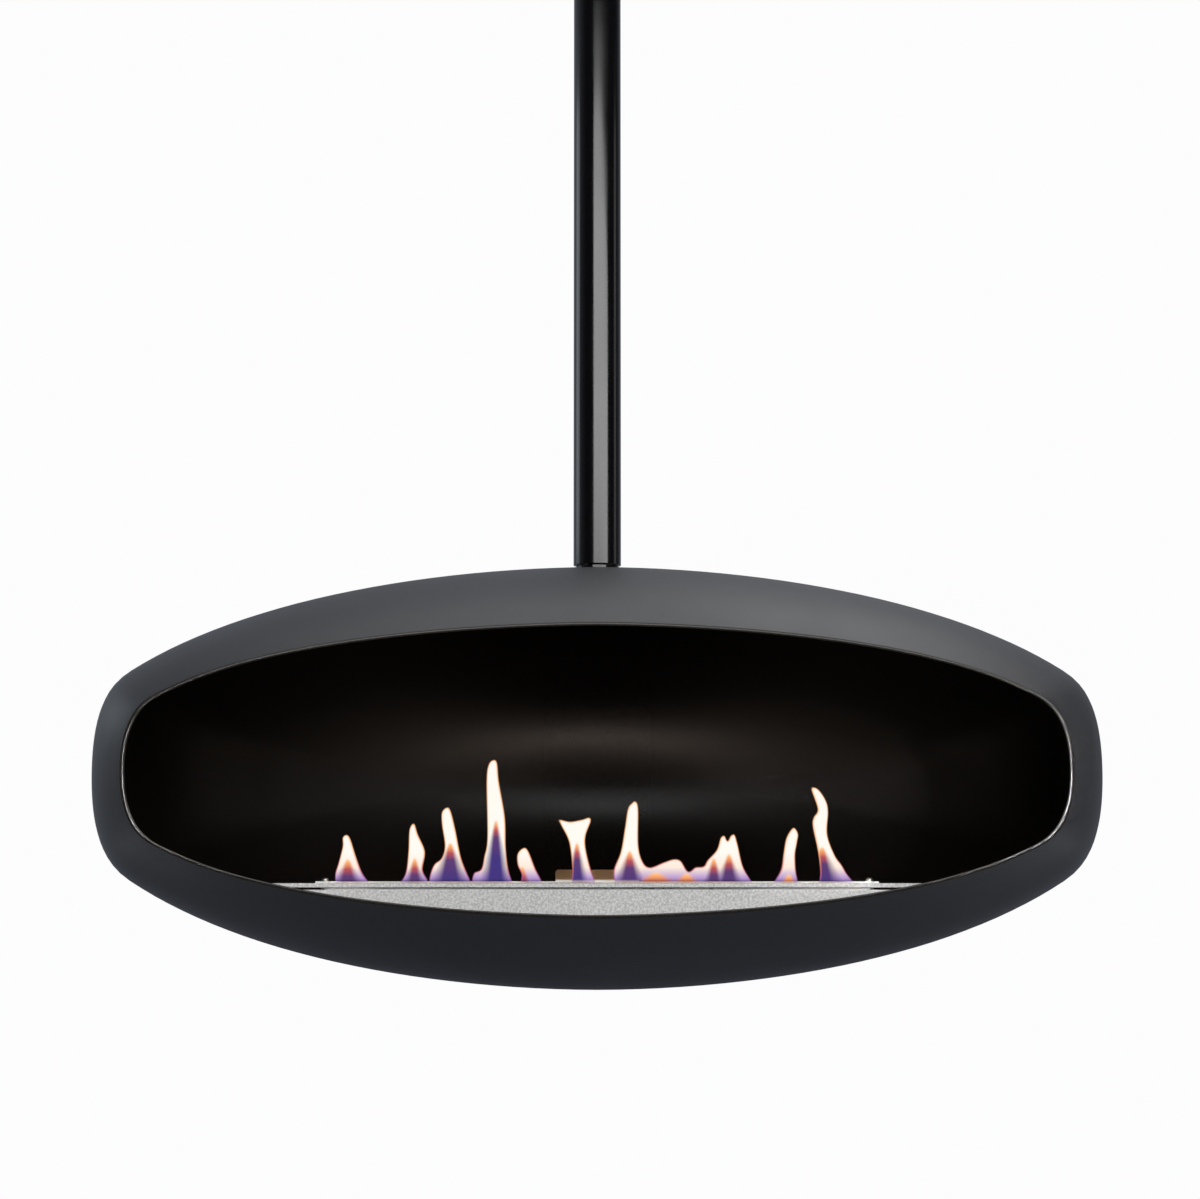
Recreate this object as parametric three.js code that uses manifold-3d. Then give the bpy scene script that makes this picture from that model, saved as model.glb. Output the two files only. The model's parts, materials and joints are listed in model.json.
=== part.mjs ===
// A hanging fireplace: a pebble-shaped steel fire that turns on a thrust bearing inside a
// ceiling pole, with a slot burner, its fuel tank and a sliding snuffer lid.
// Millimetres, +Z up. The origin is the centre of the ceiling plate's top face, which is the
// ceiling, so everything hangs below z = 0. The mouth faces -Y.

import * as THREE from 'three';
import { mergeVertices } from 'three/addons/utils/BufferGeometryUtils.js';
import Module from 'manifold-3d';

// ---------------------------------------------------------------- clearances
const SEAT_GAP = 0.3;          // between a piece and the formed surface that it lies on
const SLIP_GAP = 0.3;          // radial, a turned piece slipped into the tube
const RUNNING_GAP = 0.2;       // radial, between the shaft and what turns round it
const BALL_GAP = 0.15;         // between a ball and its groove
const SWIVEL_GAP = 1.0;        // the shadow line between the pole's end and the fire

// ---------------------------------------------------------------- ceiling end
const CEILING_PLATE = { radius: 85, thickness: 6, anchorCircle: 65, anchorHole: 4.5, anchors: 4 };
const SOCKET = { length: 90, wall: 5 };
const POLE = { radius: 24.15, wall: 3, length: 1000 };
const CROSS_BOLT = { radius: 4, depth: 40, acrossFlats: 13, head: 5.3, nut: 6.5, spare: 3, holeGap: 0.3 };
const CANOPY = { radius: 92, wall: 1.5, height: 64, ceilingGap: 0.5, poleGap: 0.6 };
const CANOPY_COLLAR = { width: 9, height: 12, edge: 1 };
const GRUB_SCREW = { radius: 2.3, socket: 1.25, socketDepth: 3, holeGap: 0.3 };

// ---------------------------------------------------------------- swivel
const SHAFT = { radius: 10, spare: 4, chamfer: 1 };
const BOSS = { radius: 21.65, height: 2.8 };
const TAIL = { radius: 15, spare: 4, chamfer: 1.5 };
const BUSH = { wall: 2.6, length: 30, flange: 4.2, flangeThickness: 2, recess: 2 };
const RACE = { radius: 17.5, thickness: 3, grooveDepth: 1, lip: 3 };
const BALLS = { radius: 2.5, circle: 14, count: 10 };
const CAGE = { thickness: 1.8, innerGap: 0.8, outerGap: 0.5 };
const SHAFT_WASHER = { radius: 18, thickness: 3 };
const CASTLE_NUT = { acrossFlats: 30, height: 12, crown: 5, crownInset: 1, slot: 5 };
const SPLIT_PIN = { radius: 1.6, spare: 2.5, holeGap: 0.3 };

// ---------------------------------------------------------------- fire body
const BODY = { halfWidth: 489, halfHeight: 210.7, halfDepth: 300, wall: 2.5 };
const PLAN_ROUNDNESS = 4.28;   // exponent of the outline seen from above
const SIDE_ROUNDNESS = 2.11;   // exponent of the outline seen from the side
const MOUTH = { setBack: 65.3 };

// The front outline, a quarter of a pebble as ratios of its half width and half height: two
// cubic curves that meet at the shoulder. Each lead is a handle's reach along the tangent.
// The pebble is widest at the waist, and its outline is fuller at the mouth.
const WAIST_RATIO = { crownLead: 0.229, shoulderX: 0.937, shoulderZ: 0.496, flankLead: 0.348 };
const MOUTH_RATIO = { crownLead: 0.067, shoulderX: 0.897, shoulderZ: 0.559, flankLead: 0.458 };
const SHOULDER_LEAD_RATIO = { x: 0.2647, z: 0.4187 };
const SHOULDER_TRAIL_RATIO = { x: 0.0338, z: 0.0534 };

// ---------------------------------------------------------------- inside the fire
const SPREADER = { radius: 75, thickness: 5, hubRadius: 32, hubDrop: 3 };
const CLAMP_WASHER = { radius: 28, thickness: 4 };
const CLAMP_NUT = { acrossFlats: 46, height: 16 };
const CRADLE = { width: 40, sheet: 3, inset: 8, centreFromEnd: 37 };
const CRADLE_PIN = { radius: 3, height: 6, gap: 0.4 };

// ---------------------------------------------------------------- burner
const BURNER = { rise: 105.6, endMargin: 154, depth: 120, rear: 15, height: 35, sheet: 2 };
const DECK = { thickness: 4, shadowGap: 2.3 };
const SLOT = { endMargin: 75, width: 28, frontBand: 48 };
const POST = { radius: 5, fromEnd: 13, fromSide: 10 };
const DECK_SCREW = { radius: 2, headRadius: 4, headHeight: 1.8, length: 12, holeGap: 0.3 };
const SCREW_DRIVE = { reach: 2.4, width: 1.2, depth: 0.9 };
const TANK = { endOverhang: 4.5, sideMargin: 3, sheet: 1.5 };
const FIBRE = { belowDeck: 13, gap: 0.5 };
const GRILLE = { thickness: 1, bars: 12, slotWidth: 8, rows: 2, border: 6, bar: 5 };

// ---------------------------------------------------------------- snuffer lid
const LID = { thickness: 1.5, width: 36, endOverhang: 20, overlap: 2.5, rideGap: 0.3 };
const LID_TAB = { width: 84, height: 13.2, corner: 3 };
const LID_PIN = { fromSlot: 12, radius: 2.4, headRadius: 3.8, headHeight: 4, slotGap: 0.3 };
const PIN_DOME_RATIOS = [[1, 0.55], [0.8, 0.88], [0.4, 1]];  // of the head's radius and height
const LID_NUT = { acrossFlats: 8, height: 3.2, endPlay: 0.4, spare: 1 };

// ---------------------------------------------------------------- facets
const ROUND_FACETS = 30;
const CANOPY_FACETS = 40;
const SMALL_FACETS = 14;
const BALL_FACETS = [8, 5];
const OUTLINE_STEPS = [10, 6];  // along the crown curve, along the flank curve
const RING_STEP = 9;            // degrees between the rings of the fire body
const BIG = 2000;               // larger than the whole object, for cutting blocks

// ---------------------------------------------------------------- worked out from the above
const poleTop = -CEILING_PLATE.thickness;
const poleEnd = poleTop - POLE.length;
const bore = POLE.radius - POLE.wall;
const bodyTop = poleEnd - SWIVEL_GAP - BOSS.height - SEAT_GAP;
const bodyCentre = bodyTop - BODY.halfHeight;
const mouthY = MOUTH.setBack - BODY.halfDepth;

// ---------------------------------------------------------------- materials
const finish = (color, roughness, metalness) => (
  new THREE.MeshStandardMaterial({ color, roughness, metalness })
);
const blackPaint = finish(0x2b2d30, 0.55, 0.1);
const blackSatin = finish(0x0c0d0f, 0.3, 0.2);
const zincSteel = finish(0xa9adb0, 0.4, 1);
const bearingSteel = finish(0xb9bcc0, 0.2, 1);
const bronze = finish(0xa8793a, 0.4, 1);
const blastedSteel = finish(0xbababc, 0.6, 0.7);
const stainless = finish(0xb5b6b8, 0.35, 1);
const fibreWhite = finish(0xd9d6ce, 0.95, 0);

// ---------------------------------------------------------------- solids
const wasm = await Module();
wasm.setup();

// Turns a closed geometry into a solid that can be joined and cut.
function solid(geometry) {
  const bare = geometry.clone();
  bare.deleteAttribute('normal');
  bare.deleteAttribute('uv');
  const merged = mergeVertices(bare, 1e-4);
  const index = merged.index.array;
  const corners = [];
  for (let i = 0; i < index.length; i += 3) {
    const [a, b, c] = [index[i], index[i + 1], index[i + 2]];
    if (a !== b && b !== c && c !== a) corners.push(a, b, c);
  }
  return new wasm.Manifold(new wasm.Mesh({
    numProp: 3,
    vertProperties: new Float32Array(merged.attributes.position.array),
    triVerts: new Uint32Array(corners),
  }));
}

// Turns a solid back into a geometry for a mesh.
function surface(body) {
  const mesh = body.getMesh();
  const geometry = new THREE.BufferGeometry();
  geometry.setAttribute('position', new THREE.BufferAttribute(mesh.vertProperties, 3));
  geometry.setIndex(new THREE.BufferAttribute(mesh.triVerts, 1));
  geometry.computeVertexNormals();
  return geometry;
}

const joined = (first, ...rest) => rest.reduce((all, next) => all.add(next), first);
const cut = (first, ...rest) => rest.reduce((all, next) => all.subtract(next), first);

// A box between two corners.
function block([x0, y0, z0], [x1, y1, z1]) {
  const geometry = new THREE.BoxGeometry(x1 - x0, y1 - y0, z1 - z0);
  geometry.translate((x0 + x1) / 2, (y0 + y1) / 2, (z0 + z1) / 2);
  return solid(geometry);
}

// A turned piece about Z. The profile holds [radius, height] points, anticlockwise.
function turned(profile, facets = ROUND_FACETS) {
  const points = profile.map(([radius, height]) => new THREE.Vector2(radius, height));
  if (profile[0][0] > 0 || profile[profile.length - 1][0] > 0) points.push(points[0].clone());
  const geometry = new THREE.LatheGeometry(points, facets);
  geometry.rotateX(Math.PI / 2);
  return solid(geometry);
}

// A round bar about Z from one height to another.
function bar(radius, low, high, facets = ROUND_FACETS) {
  return turned([[0, low], [radius, low], [radius, high], [0, high]], facets);
}

// A ring about Z.
function ring(inner, outer, low, high, facets = ROUND_FACETS) {
  return turned([[inner, low], [outer, low], [outer, high], [inner, high]], facets);
}

// A hexagon bar about Z, measured across its flats.
function hexagon(acrossFlats, low, high) {
  const corner = acrossFlats / 2 / Math.cos(Math.PI / 6);
  return turned([[0, low], [corner, low], [corner, high], [0, high]], 6);
}

// A long hole with round ends along X or Y, standing through in Z.
function longHole(halfLength, radius, low, high, along) {
  const shape = new THREE.Shape();
  const straight = halfLength - radius;
  shape.absarc(straight, 0, radius, -Math.PI / 2, Math.PI / 2);
  shape.absarc(-straight, 0, radius, Math.PI / 2, 3 * Math.PI / 2);
  shape.closePath();
  const geometry = new THREE.ExtrudeGeometry(shape, {
    depth: high - low, bevelEnabled: false, curveSegments: 8,
  });
  geometry.translate(0, 0, low);
  if (along === 'y') geometry.rotateZ(Math.PI / 2);
  return solid(geometry);
}

const lyingAlongX = (body) => body.rotate([0, 90, 0]);

// ---------------------------------------------------------------- the pebble
// Points of a section's outline, once round, for a half width and a half height. The fullness
// is 0 at the waist and 1 at the mouth.
function pebbleOutline(halfWidth, halfHeight, fullness) {
  const at = (x, z) => new THREE.Vector2(x * halfWidth, z * halfHeight);
  const ratio = (name) => THREE.MathUtils.lerp(WAIST_RATIO[name], MOUTH_RATIO[name], fullness);
  const shoulder = { x: ratio('shoulderX'), z: ratio('shoulderZ') };
  const crown = new THREE.CubicBezierCurve(
    at(0, 1),
    at(ratio('crownLead'), 1),
    at(shoulder.x - SHOULDER_LEAD_RATIO.x, shoulder.z + SHOULDER_LEAD_RATIO.z),
    at(shoulder.x, shoulder.z),
  );
  const flank = new THREE.CubicBezierCurve(
    at(shoulder.x, shoulder.z),
    at(shoulder.x + SHOULDER_TRAIL_RATIO.x, shoulder.z - SHOULDER_TRAIL_RATIO.z),
    at(1, ratio('flankLead')),
    at(1, 0),
  );
  const quarter = [
    ...crown.getSpacedPoints(OUTLINE_STEPS[0]),
    ...flank.getSpacedPoints(OUTLINE_STEPS[1]).slice(1),
  ];
  const rightHalf = [
    ...quarter,
    ...quarter.slice(0, -1).reverse().map((p) => new THREE.Vector2(p.x, -p.y)),
  ];
  const leftHalf = rightHalf.slice(1, -1).reverse().map((p) => new THREE.Vector2(-p.x, p.y));
  return [...rightHalf, ...leftHalf];
}

// How wide or high the pebble still is at a share of its depth.
const narrowing = (share, roundness) => (1 - Math.abs(share) ** roundness) ** (1 / roundness);

// The whole pebble, drawn in by an inset all round: the outline is lofted from nose to back.
function pebble(inset) {
  const halfDepth = BODY.halfDepth - inset;
  const mouthShare = mouthY / BODY.halfDepth;
  let count = 0;
  const positions = [0, -halfDepth, 0];
  const faces = [];
  const ringCount = 2 * Math.floor(89 / RING_STEP) + 1;
  for (let r = 0; r < ringCount; r += 1) {
    const angle = (r - (ringCount - 1) / 2) * RING_STEP;
    const share = Math.sin(THREE.MathUtils.degToRad(angle));
    const outline = pebbleOutline(
      (BODY.halfWidth - inset) * narrowing(share, PLAN_ROUNDNESS),
      (BODY.halfHeight - inset) * narrowing(share, SIDE_ROUNDNESS),
      Math.min(1, (share / mouthShare) ** 2),
    );
    count = outline.length;
    for (const point of outline) positions.push(point.x, share * halfDepth, point.y);
  }
  positions.push(0, halfDepth, 0);
  const corner = (r, i) => 1 + r * count + (i % count);
  const back = 1 + ringCount * count;
  for (let i = 0; i < count; i += 1) {
    faces.push(0, corner(0, i + 1), corner(0, i));
    for (let r = 0; r < ringCount - 1; r += 1) {
      faces.push(corner(r, i), corner(r, i + 1), corner(r + 1, i + 1));
      faces.push(corner(r, i), corner(r + 1, i + 1), corner(r + 1, i));
    }
    faces.push(corner(ringCount - 1, i), corner(ringCount - 1, i + 1), back);
  }
  const geometry = new THREE.BufferGeometry();
  geometry.setAttribute('position', new THREE.Float32BufferAttribute(positions, 3));
  geometry.setIndex(faces);
  return solid(geometry);
}

// ---------------------------------------------------------------- the assembly
const fireplace = new THREE.Group();

function groupAt(z) {
  const group = new THREE.Group();
  group.position.z = z;
  fireplace.add(group);
  return group;
}

function add(group, name, body, material) {
  const mesh = new THREE.Mesh(surface(body), material);
  mesh.name = name;
  group.add(mesh);
}

// ---------------------------------------------------------------- ceiling end
const ceilingEnd = groupAt(0);
const canopyBottom = -CANOPY.ceilingGap - CANOPY.height;
const socketRadius = bore - SLIP_GAP;

function ceilingPlate() {
  let plate = bar(CEILING_PLATE.radius, -CEILING_PLATE.thickness, 0);
  for (let i = 0; i < CEILING_PLATE.anchors; i += 1) {
    const angle = (i + 0.5) * 2 * Math.PI / CEILING_PLATE.anchors;
    const hole = bar(CEILING_PLATE.anchorHole, -BIG, BIG, SMALL_FACETS);
    const x = CEILING_PLATE.anchorCircle * Math.cos(angle);
    const y = CEILING_PLATE.anchorCircle * Math.sin(angle);
    plate = cut(plate, hole.translate([x, y, 0]));
  }
  return plate;
}

function crossHole() {
  const hole = bar(CROSS_BOLT.radius + CROSS_BOLT.holeGap, -BIG, BIG, SMALL_FACETS);
  return lyingAlongX(hole).translate([0, 0, poleTop - CROSS_BOLT.depth]);
}

function poleSocket() {
  const tube = ring(socketRadius - SOCKET.wall, socketRadius, poleTop - SOCKET.length, poleTop);
  return cut(tube, crossHole());
}

function pole() {
  return cut(ring(bore, POLE.radius, poleEnd, poleTop), crossHole());
}

const boltSeat = POLE.radius + SEAT_GAP;
const boltHeight = poleTop - CROSS_BOLT.depth;

function crossBolt() {
  const shank = bar(
    CROSS_BOLT.radius,
    -boltSeat,
    boltSeat + CROSS_BOLT.nut + CROSS_BOLT.spare,
    SMALL_FACETS,
  );
  const head = hexagon(CROSS_BOLT.acrossFlats, -boltSeat - CROSS_BOLT.head, -boltSeat);
  return lyingAlongX(joined(shank, head)).translate([0, 0, boltHeight]);
}

function crossBoltNut() {
  const nut = hexagon(CROSS_BOLT.acrossFlats, boltSeat, boltSeat + CROSS_BOLT.nut);
  const thread = bar(CROSS_BOLT.radius + RUNNING_GAP, -BIG, BIG, SMALL_FACETS);
  return lyingAlongX(cut(nut, thread)).translate([0, 0, boltHeight]);
}

function canopy() {
  const hole = POLE.radius + CANOPY.poleGap;
  const inside = CANOPY.radius - CANOPY.wall;
  return turned([
    [hole, canopyBottom],
    [CANOPY.radius, canopyBottom],
    [CANOPY.radius, -CANOPY.ceilingGap],
    [inside, -CANOPY.ceilingGap],
    [inside, canopyBottom + CANOPY.wall],
    [hole, canopyBottom + CANOPY.wall],
  ], CANOPY_FACETS);
}

const collarOuter = POLE.radius + SLIP_GAP + CANOPY_COLLAR.width;
const collarMiddle = canopyBottom - CANOPY_COLLAR.height / 2;

function canopyCollar() {
  const inner = POLE.radius + SLIP_GAP;
  const low = canopyBottom - CANOPY_COLLAR.height;
  const { edge } = CANOPY_COLLAR;
  const body = turned([
    [inner, low],
    [collarOuter - edge, low],
    [collarOuter, low + edge],
    [collarOuter, canopyBottom - edge],
    [collarOuter - edge, canopyBottom],
    [inner, canopyBottom],
  ]);
  const hole = bar(GRUB_SCREW.radius + GRUB_SCREW.holeGap, 0, BIG, SMALL_FACETS);
  return cut(body, lyingAlongX(hole).translate([0, 0, collarMiddle]));
}

function canopyGrubScrew() {
  const screw = bar(GRUB_SCREW.radius, POLE.radius + SEAT_GAP, collarOuter - GRUB_SCREW.holeGap, SMALL_FACETS);
  const socketStart = collarOuter - GRUB_SCREW.holeGap - GRUB_SCREW.socketDepth;
  const socket = hexagon(2 * GRUB_SCREW.socket, socketStart, BIG);
  return lyingAlongX(cut(screw, socket)).translate([0, 0, collarMiddle]);
}

add(ceilingEnd, 'ceiling_plate', ceilingPlate(), zincSteel);
add(ceilingEnd, 'pole_socket', poleSocket(), zincSteel);
add(ceilingEnd, 'pole', pole(), blackSatin);
add(ceilingEnd, 'cross_bolt', crossBolt(), zincSteel);
add(ceilingEnd, 'cross_bolt_nut', crossBoltNut(), zincSteel);
add(ceilingEnd, 'canopy', canopy(), blackPaint);
add(ceilingEnd, 'canopy_collar', canopyCollar(), blackPaint);
add(ceilingEnd, 'canopy_grub_screw', canopyGrubScrew(), zincSteel);

// ---------------------------------------------------------------- swivel, from the pole's end up
const swivel = groupAt(poleEnd);
const flangeLow = BUSH.recess;
const seatLow = flangeLow + BUSH.flangeThickness;
const bushInner = SHAFT.radius + RUNNING_GAP;
const bushOuter = bushInner + BUSH.wall;
const raceLow = seatLow + BUSH.length + RACE.lip;
const ballHeight = raceLow + RACE.thickness - RACE.grooveDepth + BALL_GAP + BALLS.radius;
const upperRaceLow = ballHeight + BALLS.radius + BALL_GAP - RACE.grooveDepth;
const upperRaceHigh = upperRaceLow + RACE.thickness;
const nutLow = upperRaceHigh + SHAFT_WASHER.thickness;
const nutHigh = nutLow + CASTLE_NUT.height;
const pinHeight = nutHigh + CASTLE_NUT.crown / 2;
const shaftTop = nutHigh + CASTLE_NUT.crown + SHAFT.spare;
const clampStackTop = bodyTop - BODY.wall - SEAT_GAP - SPREADER.thickness - SPREADER.hubDrop;
const clampNutLow = clampStackTop - CLAMP_WASHER.thickness - CLAMP_NUT.height;

function bearingSeat() {
  const outer = bore - SLIP_GAP;
  const hole = bushOuter + RUNNING_GAP;
  const recess = RACE.radius + RUNNING_GAP;
  return turned([
    [hole, seatLow],
    [outer, seatLow],
    [outer, raceLow + RACE.thickness + RACE.lip],
    [recess, raceLow + RACE.thickness + RACE.lip],
    [recess, raceLow],
    [hole, raceLow],
  ]);
}

function guideBush() {
  return turned([
    [bushInner, flangeLow],
    [bushOuter + BUSH.flange, flangeLow],
    [bushOuter + BUSH.flange, seatLow],
    [bushOuter, seatLow],
    [bushOuter, seatLow + BUSH.length],
    [bushInner, seatLow + BUSH.length],
  ]);
}

// A groove for the balls in a race's face, as points from one edge to the other.
function ballGroove(face, opensUp) {
  const radius = BALLS.radius + BALL_GAP;
  const side = opensUp ? -1 : 1;
  const reach = Math.acos((radius - RACE.grooveDepth) / radius);
  const points = [];
  const steps = 4;
  for (let i = 0; i <= steps; i += 1) {
    const angle = reach * (1 - 2 * i / steps);
    const height = face + side * (radius * Math.cos(angle) - (radius - RACE.grooveDepth));
    points.push([BALLS.circle + radius * Math.sin(angle), height]);
  }
  return points;
}

function lowerRace() {
  const inner = bushInner + RUNNING_GAP;
  const face = raceLow + RACE.thickness;
  return turned([
    [inner, raceLow],
    [RACE.radius, raceLow],
    [RACE.radius, face],
    ...ballGroove(face, true),
    [inner, face],
  ]);
}

function upperRace() {
  return turned([
    ...ballGroove(upperRaceLow, false).reverse(),
    [RACE.radius, upperRaceLow],
    [RACE.radius, upperRaceHigh],
    [bushInner, upperRaceHigh],
    [bushInner, upperRaceLow],
  ]);
}

// The balls in their cage, which roll round together.
function ballCage() {
  let cage = ring(
    bushInner + CAGE.innerGap,
    RACE.radius - CAGE.outerGap,
    ballHeight - CAGE.thickness / 2,
    ballHeight + CAGE.thickness / 2,
  );
  for (let i = 0; i < BALLS.count; i += 1) {
    const angle = i * 2 * Math.PI / BALLS.count;
    const ball = solid(new THREE.SphereGeometry(BALLS.radius, ...BALL_FACETS));
    const x = BALLS.circle * Math.cos(angle);
    const y = BALLS.circle * Math.sin(angle);
    cage = joined(cage, ball.translate([x, y, ballHeight]));
  }
  return cage;
}

function crossPin(radius) {
  const half = CASTLE_NUT.acrossFlats / 2 + SPLIT_PIN.spare;
  return lyingAlongX(bar(radius, -half, half, SMALL_FACETS)).translate([0, 0, pinHeight]);
}

// The turned spigot: shaft, visible boss and the tail that passes through the fire's roof.
function spigot() {
  const bossHigh = -SWIVEL_GAP;
  const bossLow = bossHigh - BOSS.height;
  const tailLow = clampNutLow - poleEnd - TAIL.spare;
  const body = turned([
    [0, tailLow],
    [TAIL.radius - TAIL.chamfer, tailLow],
    [TAIL.radius, tailLow + TAIL.chamfer],
    [TAIL.radius, bossLow],
    [BOSS.radius, bossLow],
    [BOSS.radius, bossHigh],
    [SHAFT.radius, bossHigh],
    [SHAFT.radius, shaftTop - SHAFT.chamfer],
    [SHAFT.radius - SHAFT.chamfer, shaftTop],
    [0, shaftTop],
  ]);
  return cut(body, crossPin(SPLIT_PIN.radius + SPLIT_PIN.holeGap));
}

function castleNut() {
  const crownRadius = CASTLE_NUT.acrossFlats / 2 - CASTLE_NUT.crownInset;
  const crown = bar(crownRadius, nutHigh, nutHigh + CASTLE_NUT.crown);
  let nut = joined(hexagon(CASTLE_NUT.acrossFlats, nutLow, nutHigh), crown);
  for (let i = 0; i < 3; i += 1) {
    const slot = block(
      [-BIG, -CASTLE_NUT.slot / 2, nutHigh],
      [BIG, CASTLE_NUT.slot / 2, BIG],
    );
    nut = cut(nut, slot.rotate([0, 0, i * 60]));
  }
  return cut(nut, bar(SHAFT.radius + RUNNING_GAP, -BIG, BIG));
}

add(swivel, 'bearing_seat', bearingSeat(), zincSteel);
add(swivel, 'guide_bush', guideBush(), bronze);
add(swivel, 'thrust_race_lower', lowerRace(), bearingSteel);
add(swivel, 'thrust_ball_cage', ballCage(), bearingSteel);
add(swivel, 'thrust_race_upper', upperRace(), bearingSteel);
add(swivel, 'spigot', spigot(), blackSatin);
add(
  swivel,
  'shaft_washer',
  ring(bushInner, SHAFT_WASHER.radius, upperRaceHigh, nutLow),
  zincSteel,
);
add(swivel, 'castle_nut', castleNut(), zincSteel);
add(swivel, 'split_pin', crossPin(SPLIT_PIN.radius), zincSteel);

// ---------------------------------------------------------------- fire body, about its centre
const fire = groupAt(bodyCentre);
const innerSpace = pebble(BODY.wall);
const seatSpace = pebble(BODY.wall + SEAT_GAP);
const tailHole = TAIL.radius + RUNNING_GAP + SEAT_GAP;
const clampTop = clampStackTop - bodyCentre;

function bodyShell() {
  const inFrontOfMouth = block([-BIG, -BIG, -BIG], [BIG, mouthY, BIG]);
  const roofHole = bar(tailHole, 0, BIG);
  return cut(pebble(0), innerSpace, inFrontOfMouth, roofHole);
}

// A dished plate pressed to the roof's curve, with a flat hub under it for the washer.
function spreaderPlate() {
  const upper = bar(SPREADER.radius, 0, BIG).intersect(seatSpace);
  const dished = cut(upper, pebble(BODY.wall + SEAT_GAP + SPREADER.thickness));
  const hub = bar(SPREADER.hubRadius, clampTop, BIG).intersect(seatSpace);
  return cut(joined(dished, hub), bar(tailHole, 0, BIG));
}

const clampWasher = ring(
  TAIL.radius + RUNNING_GAP,
  CLAMP_WASHER.radius,
  clampTop - CLAMP_WASHER.thickness,
  clampTop,
);

function clampNut() {
  const high = clampTop - CLAMP_WASHER.thickness;
  const nut = hexagon(CLAMP_NUT.acrossFlats, high - CLAMP_NUT.height, high);
  return cut(nut, bar(TAIL.radius + RUNNING_GAP, -BIG, BIG));
}

// ---------------------------------------------------------------- burner
const deckTop = BURNER.rise - BODY.halfHeight;
const deckLow = deckTop - DECK.thickness;
const casingTop = deckLow - DECK.shadowGap;
const casingLow = deckTop - BURNER.height;
const casingEnd = BODY.halfWidth - BURNER.endMargin;
const casingRear = BURNER.rear;
const casingFront = BURNER.rear - BURNER.depth;
const slotEnd = casingEnd - SLOT.endMargin;
const slotFront = casingFront + SLOT.frontBand;
const slotRear = slotFront + SLOT.width;
const slotMiddle = (slotFront + slotRear) / 2;
const lidFront = slotRear + LID.overlap + LID.rideGap;
const lidRear = lidFront + LID.width;
const lidTravel = lidFront - slotFront + LID.overlap;
const lidPinY = (lidFront + lidRear) / 2;
const lidPinX = slotEnd + LID_PIN.fromSlot;
const cradleX = casingEnd - CRADLE.centreFromEnd;
const burnerMiddle = (casingFront + casingRear) / 2;

// Calls a maker at the four corners where the deck is screwed to the casing.
function atPosts(make) {
  const across = BURNER.depth / 2 - POST.fromSide;
  const along = casingEnd - POST.fromEnd;
  return [
    make(-along, burnerMiddle - across),
    make(along, burnerMiddle - across),
    make(-along, burnerMiddle + across),
    make(along, burnerMiddle + across),
  ];
}

function burnerCasing() {
  const { sheet } = BURNER;
  const outside = block([-casingEnd, casingFront, casingLow], [casingEnd, casingRear, casingTop]);
  const inside = block(
    [-casingEnd + sheet, casingFront + sheet, casingLow + sheet],
    [casingEnd - sheet, casingRear - sheet, BIG],
  );
  const screwHole = DECK_SCREW.radius + DECK_SCREW.holeGap;
  const screwBottom = deckTop - DECK_SCREW.length - DECK_SCREW.holeGap;
  const posts = atPosts((x, y) => {
    const post = bar(POST.radius, casingLow + sheet / 2, deckLow, SMALL_FACETS);
    const hole = bar(screwHole, screwBottom, BIG, SMALL_FACETS);
    return cut(post, hole).translate([x, y, 0]);
  });
  const pinHoles = [-cradleX, cradleX].map((x) => (
    bar(CRADLE_PIN.radius + CRADLE_PIN.gap, -BIG, 0, SMALL_FACETS).translate([x, burnerMiddle, 0])
  ));
  return cut(joined(cut(outside, inside), ...posts), ...pinHoles);
}

// One cradle: a bent saddle whose feet follow the floor of the fire, with a locating pin.
function cradle(side) {
  const { width, sheet, inset } = CRADLE;
  const [x0, x1] = [side * cradleX - width / 2, side * cradleX + width / 2];
  const [y0, y1] = [casingFront + inset, casingRear - inset];
  const top = block([x0, y0, casingLow - sheet], [x1, y1, casingLow]);
  const feet = [x0, x1 - sheet].map((x) => block([x, y0, -BIG], [x + sheet, y1, casingLow]));
  const pinHigh = casingLow + BURNER.sheet + CRADLE_PIN.height;
  const pin = bar(CRADLE_PIN.radius, casingLow - sheet / 2, pinHigh, SMALL_FACETS);
  const saddle = joined(top, ...feet).intersect(seatSpace);
  return joined(saddle, pin.translate([side * cradleX, burnerMiddle, 0]));
}

const tankEnd = slotEnd + TANK.endOverhang;
const tankFront = casingFront + BURNER.sheet + TANK.sideMargin;
const tankRear = casingRear - BURNER.sheet - TANK.sideMargin;
const tankLow = casingLow + BURNER.sheet + SEAT_GAP;

function fuelTank() {
  const { sheet } = TANK;
  const outside = block([-tankEnd, tankFront, tankLow], [tankEnd, tankRear, deckLow - SEAT_GAP]);
  const inside = block(
    [-tankEnd + sheet, tankFront + sheet, tankLow + sheet],
    [tankEnd - sheet, tankRear - sheet, BIG],
  );
  return cut(outside, inside);
}

const fibreTop = deckLow - FIBRE.belowDeck;
const insideTank = TANK.sheet + FIBRE.gap;

const ceramicFibre = block(
  [-tankEnd + insideTank, tankFront + insideTank, tankLow + TANK.sheet + SEAT_GAP],
  [tankEnd - insideTank, tankRear - insideTank, fibreTop],
);

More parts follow.
